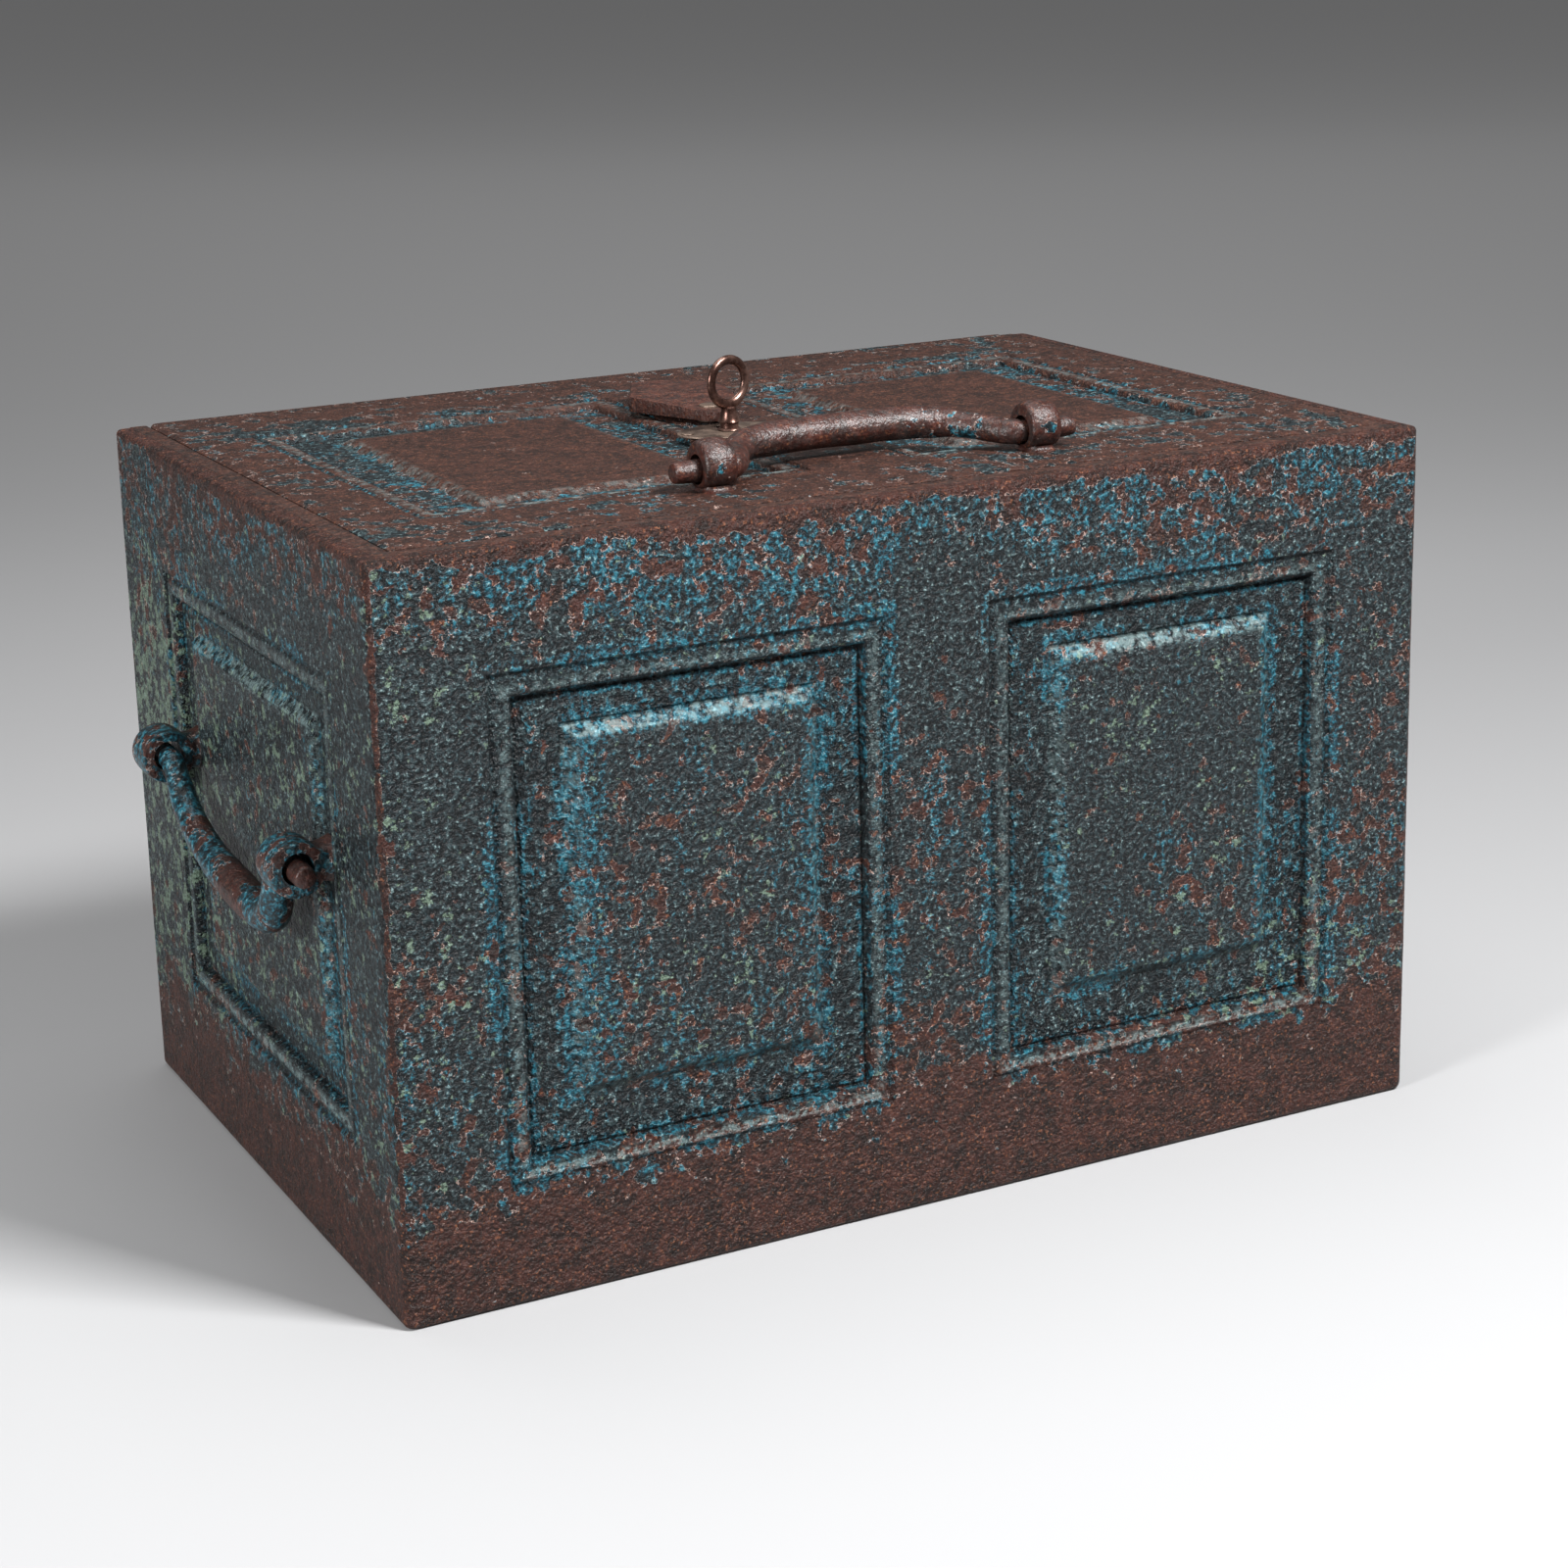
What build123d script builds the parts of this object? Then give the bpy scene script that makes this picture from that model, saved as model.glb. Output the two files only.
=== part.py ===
from build123d import *

import os
from math import asin, atan2, cos, degrees, radians, sin

# A cast-iron strongbox with a lifting lid, three swinging bail handles and a bolt lock worked by a key.
# Millimetres. +Z is up, the front looks along -Y, and the origin is the middle of the underside.

# ---- driving dimensions of the case -------------------------------------------------------------
WIDTH, DEPTH, HEIGHT = 500.0, 338.0, 317.0
PLATE = 8.0                 # thickness of the case plates
CORNER = 4.0                # rounding of the outer upright corners
ANGLE_LEG, ANGLE_WEB = 20.0, 4.0
RIM_BAR, RIM_DEEP = 8.0, 21.0
LEDGE_WIDE, LEDGE_THICK = 12.0, 6.0

# ---- the lid ------------------------------------------------------------------------------------
LID_THICK, LID_RISE = 9.0, 1.0
LID_SIDE_GAP, LID_SEAT_GAP = 0.4, 0.3
LID_CORNER = 6.0

# ---- moulded panels: a quirk, a raised bead, a sunk margin and a raised field --------------------
RELIEF = 4.0
LID_RELIEF = 3.0
BEAD_FROM, BEAD_TO, BEAD_DROP = 4.0, 11.0, 0.5
PANEL_INNER_X, PANEL_OUTER_X = 24.0, 203.0
FIELD_INNER_X, FIELD_OUTER_X = 57.0, 170.0
FRONT_PANEL_Z, FRONT_FIELD_Z = (50.0, 267.0), (85.0, 241.0)
LID_PANEL_Y, LID_FIELD_Y = (-107.0, 110.0), (-84.0, 82.0)
SIDE_PANEL_Y, SIDE_PANEL_Z = (-119.0, 103.0), (62.0, 262.0)
SIDE_FIELD_Y, SIDE_FIELD_Z = (-93.0, 71.0), (87.0, 239.0)

# ---- bail handles and their eyes ------------------------------------------------------------------
PIN_R, ROD_R, SHOULDER_R = 5.0, 6.8, 6.4
FOOT, SHANK_R, SHANK_OVER = 12.0, 4.0, 2.0
NUT_R, NUT_THICK = 7.5, 5.0
RUNNING = 0.06              # radial clearance of a pin that turns in a bore
LID_EYE_R, LID_EYE_WIDE = 10.5, 13.0
LID_EYE_X, LID_EYE_Y, LID_EYE_RISE = 78.5, -119.0, 11.0
LID_PIN_RISE = 8.3          # the pins hang low in the lid's eyes
LID_BAIL_HALF, LID_BAIL_DEEP, LID_PIN_END = 64.5, 37.0, 97.0
LID_BAIL_TURNS = (-49.5, 34.0, 16.0), (0.0, LID_BAIL_DEEP, 220.0), (49.5, 34.0, 16.0)
SIDE_EYE_R, SIDE_EYE_WIDE, SIDE_EYE_OUT = 12.5, 20.0, 14.0
SIDE_EYE_Y, SIDE_EYE_Z = (-101.5, 73.5), (181.3, 185.0)     # front and rear
SIDE_BAIL_IN, SIDE_PIN_OVER = 18.0, 19.0
SIDE_BAIL_TURNS = (-44.0, 25.0, 40.0), (20.0, 34.0, 150.0), (58.0, 33.0, 16.0)     # rear to front

# ---- lid hinges -----------------------------------------------------------------------------------
HINGE_X, HINGE_WIDE, KNUCKLE = 150.0, 60.0, 20.0
HINGE_PIN_R, BARREL_R, KNUCKLE_GAP = 3.0, 5.5, 0.2
LEAF, LEAF_TALL = 3.0, 45.0
HINGE_OUT, HINGE_Z = 7.0, 303.0     # the axis stands behind the back face, below the lid

# ---- lock -------------------------------------------------------------------------------------------
KEY_X, KEY_Y = -15.0, -7.0
KEY_TURNED = 16.0           # degrees that the bow and the bit stand round from the front face
KEY_R, KEY_TIP_R, KEY_SLACK = 3.2, 2.5, 0.8
KEY_FLANGE_R, KEY_LIP_R, KEY_NECK_R = 5.4, 5.2, 3.7
KEY_DRUM, KEY_CONE = 3.6, 6.6
BOW_HALF_X, BOW_HALF_Z, BOW_WIRE, BOW_SUNK = 12.5, 12.3, 3.2, 0.6
BIT_LONG, BIT_THICK, BIT_TALL = 11.5, 3.0, 13.0
SCUTCHEON, SCUTCHEON_LONG, SCUTCHEON_WIDE = 0.8, 26.0, 17.0
SCUTCHEON_RIVET_AT, SCUTCHEON_RIVET_R = 22.0, 1.6
SCUTCHEON_HEAD_R, SCUTCHEON_HEAD = 2.8, 0.6
CASE_X, CASE_Y = (-37.0, 25.0), (-37.0, 43.0)
LOCK_WALL, CAP_BOTTOM = 3.0, 283.0
SCREW_R, SCREW_HEAD_R, SCREW_HEAD, SCREW_DEEP, SCREW_BOSS = 1.5, 3.0, 1.5, 8.0, 4.0
BAR_X = (KEY_X + 5, KEY_X + 29)
BAR_Z, BAR_THICK, BAR_REAR, BAR_SLIDE = 289.0, 6.0, KEY_Y + 26, 0.3
LAP_THICK = 3.0
BOLT_X, BOLT_R, BOLT_TIP_Y = 100.0, 6.0, -139.0
TENON_R = 3.0
CROSS_BAR_Y = (-112.0, -98.0)
GUIDE_Y, GUIDE_HALF, KEEPER_HALF = (-136.0, -126.0), 11.0, 12.0
LAP_Y = sum(CROSS_BAR_Y) / 2
BOLT_RIVET_X, BOLT_RIVET_R = (KEY_X + 11, KEY_X + 23), 2.0
BOLT_RIVET_HEAD_R, BOLT_RIVET_HEAD = 3.5, 1.5
LEVER_THICK, LEVER_GAP, LEVER_COUNT = 1.8, 0.15, 3
LEVER_X, LEVER_Y = (KEY_X + 12.2, KEY_X + 28), (KEY_Y - 20, KEY_Y + 44)
WINDOW_X, WINDOW_Y = (LEVER_X[0] + 2.3, LEVER_X[1] - 2.5), (KEY_Y - 12, KEY_Y + 12)
POST_X, POST_Y, POST_R = KEY_X + 20, KEY_Y + 40, 3.0
STUMP_X, STUMP_Y, STUMP_R = KEY_X + 20, KEY_Y + 6, 2.0
SPRING_Y, SPRING_OUT, SPRING_THICK = (KEY_Y - 16, KEY_Y + 28), 4.2, 0.8

# ---- keyhole cover: a leaf-shaped plate, thinner at the narrow end that it turns on -----------------
COVER_PIVOT = (-9.5, 24.0)
PIVOT_R, PIVOT_HEAD_R, PIVOT_HEAD = 3.0, 5.0, 1.4
PIVOT_TOP = 325.4
COVER_BOTTOM, COVER_TOP, COVER_TIP_TOP = 319.8, 327.0, 323.9
COVER_TIP_LEFT, COVER_TIP_RIGHT = (-16.5, 12.5), (-11.0, 9.5)
COVER_NEAR, COVER_FAR = (-36.0, 56.0), (-19.0, 91.0)
COVER_RIGHT, COVER_SHOULDER, COVER_BACK = (14.0, 56.0), (7.5, 32.0), (5.5, 85.0)

# ---- rivets ---------------------------------------------------------------------------------------------
RIVET_HEAD_R, RIVET_HEAD = 4.5, 2.5
RIVET_IN = 13.0             # from a wall to the row of rivets on an angle's leg
ANGLE_RIVET_Z = (70.0, 160.0, 250.0)
BASE_RIVET_X, BASE_RIVET_Y = (-180.0, -60.0, 60.0, 180.0), (-90.0, 0.0, 90.0)
LEAF_RIVET_X, LEAF_RIVET_DOWN = (-20.0, 20.0), (16.0, 36.0)

# ---- levels and faces worked out from the above -------------------------------------------------------
HALF_X, HALF_Y = WIDTH / 2, DEPTH / 2
INNER_X, INNER_Y = HALF_X - PLATE, HALF_Y - PLATE
RIM_X, RIM_Y = INNER_X - RIM_BAR, INNER_Y - RIM_BAR
LID_TOP = HEIGHT + LID_RISE
LID_BOTTOM = LID_TOP - LID_THICK
LEDGE_TOP = LID_BOTTOM - LID_SEAT_GAP
LEDGE_BOTTOM = LEDGE_TOP - LEDGE_THICK
LID_X, LID_FRONT = RIM_X - LID_SIDE_GAP, -RIM_Y + LID_SIDE_GAP
HINGE_Y = HALF_Y + HINGE_OUT
CAP_TOP = CAP_BOTTOM + LOCK_WALL
ROOF_BOTTOM = LID_BOTTOM - LOCK_WALL
BAR_TOP = BAR_Z + BAR_THICK
LEVER_Z = BAR_TOP + 1.2
LEVER_TOP = LEVER_Z + LEVER_COUNT * (LEVER_THICK + LEVER_GAP)
BOLT_Z = BAR_Z + BAR_THICK / 2
SCUTCHEON_X = KEY_X + 1
PIN_SLOPE = atan2(SIDE_EYE_Z[1] - SIDE_EYE_Z[0], SIDE_EYE_Y[1] - SIDE_EYE_Y[0])

FRONT_FACE = Plane(origin=(0, -HALF_Y, 0), x_dir=(1, 0, 0), z_dir=(0, -1, 0))
LEFT_FACE = Plane(origin=(-HALF_X, 0, 0), x_dir=(0, -1, 0), z_dir=(-1, 0, 0))
LID_FACE = Plane.XY.offset(LID_TOP)


def save(part, name):
    """Label one finished piece and write its STEP file."""
    part.label = name
    export_step(part, f"parts/{name}.step")


def block(x, y, z):
    """A box between two limits on each axis, as a part on its own."""
    with BuildPart(mode=Mode.PRIVATE) as made:
        with Locations(((x[0] + x[1]) / 2, (y[0] + y[1]) / 2, (z[0] + z[1]) / 2)):
            Box(x[1] - x[0], y[1] - y[0], z[1] - z[0])
    return made.part


def rod(start, end, radius):
    """A round bar from one point to another, as a part on its own."""
    start, end = Vector(*start), Vector(*end)
    with BuildPart(mode=Mode.PRIVATE) as made:
        with BuildSketch(Plane(origin=start, z_dir=end - start)):
            Circle(radius)
        extrude(amount=(end - start).length)
    return made.part


def frame_sketch(plane, outer, inner):
    """The flat ring between two rectangles, each given as (u low, u high, v low, v high)."""
    with BuildSketch(plane, mode=Mode.PRIVATE) as made:
        for bounds, mode in ((outer, Mode.ADD), (inner, Mode.SUBTRACT)):
            with Locations(((bounds[0] + bounds[1]) / 2, (bounds[2] + bounds[3]) / 2)):
                Rectangle(bounds[1] - bounds[0], bounds[3] - bounds[2], mode=mode)
    return made.sketch


def inset(bounds, by):
    """A rectangle drawn in by the same distance on each side."""
    return bounds[0] + by, bounds[1] - by, bounds[2] + by, bounds[3] - by


def moulded_panel(plane, outer, field, relief=RELIEF):
    """Sink a panel into the part being built, leaving its field and a rounded bead standing."""
    extrude(to_extrude=frame_sketch(plane, outer, field), amount=-relief, mode=Mode.SUBTRACT)
    bead = frame_sketch(plane.offset(-relief), inset(outer, BEAD_FROM), inset(outer, BEAD_TO))
    extrude(to_extrude=bead, amount=relief - BEAD_DROP)


def paired_panels(plane, panel_v, field_v, relief=RELIEF):
    """Two equal panels, one each side of the middle."""
    for side in (-1, 1):
        outer = sorted((side * PANEL_INNER_X, side * PANEL_OUTER_X)) + list(panel_v)
        field = sorted((side * FIELD_INNER_X, side * FIELD_OUTER_X)) + list(field_v)
        moulded_panel(plane, outer, field, relief)


# ---- case plates ----------------------------------------------------------------------------------------
def build_front_plate():
    with BuildPart() as front_plate:
        add(block((-HALF_X, HALF_X), (-HALF_Y, -INNER_Y), (0, HEIGHT)))
        upright = front_plate.edges().filter_by(Axis.Z).group_by(Axis.Y)[0]
        fillet(upright, CORNER)
        paired_panels(FRONT_FACE, FRONT_PANEL_Z, FRONT_FIELD_Z)
    save(front_plate.part, "front_plate")


def build_back_plate():
    with BuildPart() as back_plate:
        add(block((-INNER_X, INNER_X), (INNER_Y, HALF_Y), (0, LEDGE_TOP)))
    save(back_plate.part, "back_plate")


def build_side_plates():
    with BuildPart() as left_plate:
        add(block((-HALF_X, -INNER_X), (-INNER_Y, HALF_Y), (0, HEIGHT)))
        upright = left_plate.edges().filter_by(Axis.Z).group_by(Axis.Y)[-1].sort_by(Axis.X)[0]
        fillet(upright, CORNER)
        outer, field = (tuple(-y for y in reversed(span)) + tall for span, tall in
                        ((SIDE_PANEL_Y, SIDE_PANEL_Z), (SIDE_FIELD_Y, SIDE_FIELD_Z)))
        moulded_panel(LEFT_FACE, outer, field)
        for eye_y, eye_z in zip(SIDE_EYE_Y, SIDE_EYE_Z):
            add(block((-HALF_X, -INNER_X), (eye_y - FOOT / 2, eye_y + FOOT / 2),
                      (eye_z - FOOT / 2, eye_z + FOOT / 2)))
            add(rod((-HALF_X, eye_y, eye_z), (0, eye_y, eye_z), SHANK_R), mode=Mode.SUBTRACT)
    save(left_plate.part, "left_plate")
    save(mirror(left_plate.part, about=Plane.YZ, mode=Mode.PRIVATE), "right_plate")


def build_base_plate():
    with BuildPart() as base_plate:
        add(block((-INNER_X, INNER_X), (-INNER_Y, INNER_Y), (0, PLATE)))
    save(base_plate.part, "base_plate")


# ---- frames inside the case ---------------------------------------------------------------------------
def build_rim_frame():
    """Bars inside the top edge; the lid drops between them onto a ledge, and passes over the back one."""
    ring = frame_sketch(Plane.XY.offset(HEIGHT - RIM_DEEP), (-INNER_X, INNER_X, -INNER_Y, INNER_Y),
                        (-RIM_X, RIM_X, -RIM_Y, RIM_Y))
    ledge = frame_sketch(Plane.XY.offset(LEDGE_BOTTOM), (-RIM_X, RIM_X, -RIM_Y, RIM_Y),
                         (-RIM_X + LEDGE_WIDE, RIM_X - LEDGE_WIDE, -RIM_Y + LEDGE_WIDE, RIM_Y - LEDGE_WIDE))
    with BuildPart() as rim_frame:
        extrude(to_extrude=ring, amount=RIM_DEEP)
        extrude(to_extrude=ledge, amount=LEDGE_THICK)
        add(block((-RIM_X, RIM_X), (RIM_Y, INNER_Y), (LEDGE_TOP, HEIGHT)), mode=Mode.SUBTRACT)
        for side in (-1, 1):
            side_x = sorted((side * RIM_X, side * INNER_X))
            add(block(side_x, (INNER_Y, HALF_Y), (LEDGE_TOP, HEIGHT)))
    save(rim_frame.part, "rim_frame")


def build_base_frame():
    """Angle iron round the inside of the base."""
    web, leg = ANGLE_WEB, ANGLE_LEG
    inside = (-INNER_X, INNER_X, -INNER_Y, INNER_Y)
    with BuildPart() as base_frame:
        extrude(to_extrude=frame_sketch(Plane.XY.offset(PLATE), inside, inset(inside, leg)), amount=web)
        extrude(to_extrude=frame_sketch(Plane.XY.offset(PLATE), inside, inset(inside, web)), amount=leg)
    save(base_frame.part, "base_frame")


def build_corner_angles():
    """An upright angle iron in each corner, between the base frame and the rim."""
    web, leg = ANGLE_WEB, ANGLE_LEG
    upright = (PLATE + leg, HEIGHT - RIM_DEEP)
    for end, sy in (("front", -1), ("rear", 1)):
        for hand, sx in (("left", -1), ("right", 1)):
            with BuildPart() as corner_angle:
                add(block(sorted((sx * INNER_X, sx * (INNER_X - web))),
                          sorted((sy * INNER_Y, sy * (INNER_Y - leg))), upright))
                add(block(sorted((sx * INNER_X, sx * (INNER_X - leg))),
                          sorted((sy * INNER_Y, sy * (INNER_Y - web))), upright))
            save(corner_angle.part, f"{end}_{hand}_angle")


# ---- lid and its hinges ---------------------------------------------------------------------------------
def keyhole(plane, depth, round_r):
    """The key's hole with its bit slot towards the back, ready to take out of a plate."""
    slot_half, slot_end = BIT_THICK / 2 + KEY_SLACK, BIT_LONG + 2 * KEY_SLACK
    with BuildSketch(plane, mode=Mode.PRIVATE) as outline:
        with Locations((KEY_X, KEY_Y)):
            Circle(round_r)
        with Locations((KEY_X, KEY_Y + slot_end / 2)):
            Rectangle(2 * slot_half, slot_end)
    return extrude(to_extrude=outline.sketch, amount=depth, mode=Mode.PRIVATE)


def build_lid_plate():
    with BuildPart() as lid_plate:
        add(block((-LID_X, LID_X), (LID_FRONT, HALF_Y), (LID_BOTTOM, LID_TOP)))
        fillet(lid_plate.edges().filter_by(Axis.Z).group_by(Axis.Y)[-1], LID_CORNER)
        paired_panels(LID_FACE, LID_PANEL_Y, LID_FIELD_Y, LID_RELIEF)
        add(keyhole(Plane.XY.offset(LID_BOTTOM), LID_THICK, KEY_R + KEY_SLACK), mode=Mode.SUBTRACT)
        for side in (-1, 1):
            eye_x = side * LID_EYE_X
            add(rod((eye_x, LID_EYE_Y, LID_BOTTOM), (eye_x, LID_EYE_Y, LID_TOP), SHANK_R), mode=Mode.SUBTRACT)
        add(rod((*COVER_PIVOT, LID_BOTTOM), (*COVER_PIVOT, LID_TOP), PIVOT_R), mode=Mode.SUBTRACT)
    save(lid_plate.part, "lid_plate")


def build_hinges():
    """A butt hinge near each end of the back edge: two fixed knuckles and one that lifts with the lid."""
    for hand, side in (("left", -1), ("right", 1)):
        x = side * HINGE_X
        half, leaf_half = KNUCKLE / 2, HINGE_WIDE / 2
        out = (HALF_Y, HALF_Y + LEAF)
        with BuildPart() as case_leaf:
            add(block((x - leaf_half, x + leaf_half), out, (HINGE_Z - LEAF_TALL, HINGE_Z)))
            for end in (-1, 1):
                near, far = x + end * (half + KNUCKLE_GAP), x + end * leaf_half
                add(rod((near, HINGE_Y, HINGE_Z), (far, HINGE_Y, HINGE_Z), BARREL_R))
                add(block(sorted((near, far)), (HALF_Y, HINGE_Y), (HINGE_Z - BARREL_R, HINGE_Z)))
            add(block((x - half - KNUCKLE_GAP, x + half + KNUCKLE_GAP), out,
                      (HINGE_Z - BARREL_R - LID_RISE, HINGE_Z)), mode=Mode.SUBTRACT)
            add(rod((x - leaf_half, HINGE_Y, HINGE_Z), (x + leaf_half, HINGE_Y, HINGE_Z), HINGE_PIN_R),
                mode=Mode.SUBTRACT)
        save(case_leaf.part, f"{hand}_case_hinge_leaf")

        with BuildPart() as lid_leaf:
            add(block((x - leaf_half, x + leaf_half), out, (LID_BOTTOM, LID_TOP - LID_RISE)))
            add(block((x - half, x + half), (HALF_Y + LID_SEAT_GAP, HALF_Y + LEAF), (HINGE_Z, LID_BOTTOM)))
            add(rod((x - half, HINGE_Y, HINGE_Z), (x + half, HINGE_Y, HINGE_Z), BARREL_R))
            add(block((x - half, x + half), (HALF_Y + LID_SEAT_GAP, HINGE_Y), (HINGE_Z, HINGE_Z + BARREL_R)))
            add(rod((x - half, HINGE_Y, HINGE_Z), (x + half, HINGE_Y, HINGE_Z), HINGE_PIN_R + RUNNING),
                mode=Mode.SUBTRACT)
        save(lid_leaf.part, f"{hand}_lid_hinge_leaf")

        ends = (x - leaf_half, HINGE_Y, HINGE_Z), (x + leaf_half, HINGE_Y, HINGE_Z)
        save(rod(*ends, HINGE_PIN_R), f"{hand}_hinge_pin")


# ---- handles ----------------------------------------------------------------------------------------------
def eye_solid(centre, pin_dir, out_dir, radius, wide, face_gap, through, pin_low=0.0):
    """A rolled eye round a bail's pin, with a square foot on the plate and a shank through it."""
    centre, pin_dir, out_dir = Vector(*centre), Vector(*pin_dir), Vector(*out_dir)
    ends = centre - pin_dir * (wide / 2), centre + pin_dir * (wide / 2)
    face = centre - out_dir * face_gap
    with BuildPart(mode=Mode.PRIVATE) as eye:
        add(rod(*ends, radius))
        with BuildSketch(Plane(origin=face, x_dir=(abs(out_dir.Z), 1 - abs(out_dir.Z), 0), z_dir=out_dir)):
            Rectangle(FOOT, FOOT)
        extrude(amount=face_gap)
        add(rod(face, face - out_dir * through, SHANK_R))
        add(rod(*(end - out_dir * pin_low for end in ends), PIN_R + RUNNING), mode=Mode.SUBTRACT)
    return eye.part


def nut_solid(face_centre, inward):
    """A hexagonal nut on the inner end of an eye's shank."""
    with BuildPart(mode=Mode.PRIVATE) as nut:
        with BuildSketch(Plane(origin=face_centre, z_dir=inward)):
            RegularPolygon(NUT_R, 6)
            Circle(SHANK_R, mode=Mode.SUBTRACT)
        extrude(amount=NUT_THICK)
    return nut.part


def build_eyes():
    lid_nuts, side_nuts = [], []
    for hand, side in (("left", -1), ("right", 1)):
        centre = (side * LID_EYE_X, LID_EYE_Y, LID_TOP + LID_EYE_RISE)
        eye = eye_solid(centre, (1, 0, 0), (0, 0, 1), LID_EYE_R, LID_EYE_WIDE, LID_EYE_RISE,
                        LID_THICK + NUT_THICK + SHANK_OVER, LID_EYE_RISE - LID_PIN_RISE)
        save(eye, f"lid_{hand}_eye")
        lid_nuts.append(nut_solid((side * LID_EYE_X, LID_EYE_Y, LID_BOTTOM), (0, 0, -1)))
        for end, eye_y, eye_z in zip(("front", "rear"), SIDE_EYE_Y, SIDE_EYE_Z):
            centre = (side * (HALF_X + SIDE_EYE_OUT), eye_y, eye_z)
            eye = eye_solid(centre, (0, cos(PIN_SLOPE), sin(PIN_SLOPE)), (side, 0, 0), SIDE_EYE_R,
                            SIDE_EYE_WIDE, SIDE_EYE_OUT, PLATE + NUT_THICK + SHANK_OVER)
            save(eye, f"{hand}_{end}_eye")
            side_nuts.append(nut_solid((side * INNER_X, eye_y, eye_z), (-side, 0, 0)))
    save(Compound(lid_nuts), "lid_eye_nuts")
    save(Compound(side_nuts), "side_eye_nuts")


def bail_solid(half_span, turns, pin_end):
    """A bail in its own XY plane: pins along X through the origin line, the bow reaching to +Y.

    The rod starts half_span out and goes through its turns, each an across, out and bend radius.
    """
    overlap = 4
    with BuildPart(mode=Mode.PRIVATE) as bail:
        with BuildLine() as route:
            FilletPolyline((-half_span, 0), *((across, out) for across, out, bend in turns), (half_span, 0),
                           radius=[bend for across, out, bend in turns])
        start = route.line @ 0
        with BuildSketch(Plane(origin=start, z_dir=route.line % 0)):
            Circle(ROD_R)
        sweep(path=route.line)
        for side in (-1, 1):
            add(rod((side * (half_span - overlap), 0, 0), (side * pin_end, 0, 0), PIN_R))
            with Locations((side * half_span, 0, 0)):
                Sphere(SHOULDER_R)
    return bail.part


def build_lid_bail():
    """The lid's bail lies back towards the hinges, its rod resting on the lid."""
    droop = degrees(asin((LID_PIN_RISE - ROD_R - LID_SEAT_GAP) / LID_BAIL_DEEP))
    bail = bail_solid(LID_BAIL_HALF, LID_BAIL_TURNS, LID_PIN_END)
    lie = Plane(origin=(0, LID_EYE_Y, LID_TOP + LID_PIN_RISE), x_dir=(1, 0, 0),
                z_dir=(0, sin(radians(droop)), cos(radians(droop))))
    save(lie * bail, "lid_bail")


def build_side_bails():
    """A bail hangs straight down from the two eyes on each end of the case."""
    middle_y, middle_z = sum(SIDE_EYE_Y) / 2, sum(SIDE_EYE_Z) / 2
    half = (SIDE_EYE_Y[1] - SIDE_EYE_Y[0]) / 2 / cos(PIN_SLOPE)
    bail = bail_solid(half - SIDE_BAIL_IN, SIDE_BAIL_TURNS, half + SIDE_PIN_OVER)
    for hand, side in (("left", -1), ("right", 1)):
        hang = Plane(origin=(side * (HALF_X + SIDE_EYE_OUT), middle_y, middle_z),
                     x_dir=(0, -cos(PIN_SLOPE), -sin(PIN_SLOPE)), z_dir=(1, 0, 0))
        save(hang * bail, f"{hand}_bail")


# ---- keyhole furniture ---------------------------------------------------------------------------------
def build_escutcheon():
    """An oval plate round the keyhole, held by two small rivets."""
    rivet_x = [SCUTCHEON_X + side * SCUTCHEON_RIVET_AT for side in (-1, 1)]
    with BuildPart() as escutcheon_plate:
        with BuildSketch(Plane.XY.offset(LID_TOP)):
            with Locations((SCUTCHEON_X, KEY_Y)):
                Ellipse(SCUTCHEON_LONG, SCUTCHEON_WIDE)
        extrude(amount=SCUTCHEON)
        add(keyhole(Plane.XY.offset(LID_TOP), SCUTCHEON, KEY_R + RUNNING), mode=Mode.SUBTRACT)
        for x in rivet_x:
            add(rod((x, KEY_Y, LID_TOP), (x, KEY_Y, LID_TOP + SCUTCHEON), SCUTCHEON_RIVET_R),
                mode=Mode.SUBTRACT)
    save(escutcheon_plate.part, "escutcheon_plate")

    rivets = []
    for x in rivet_x:
        with BuildPart(mode=Mode.PRIVATE) as rivet:
            head_bottom, head_top = LID_TOP + SCUTCHEON, LID_TOP + SCUTCHEON + SCUTCHEON_HEAD
            add(rod((x, KEY_Y, LID_TOP), (x, KEY_Y, head_bottom), SCUTCHEON_RIVET_R))
            add(rod((x, KEY_Y, head_bottom), (x, KEY_Y, head_top), SCUTCHEON_HEAD_R))
        rivets.append(rivet.part)
    save(Compound(rivets), "escutcheon_rivets")


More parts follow.
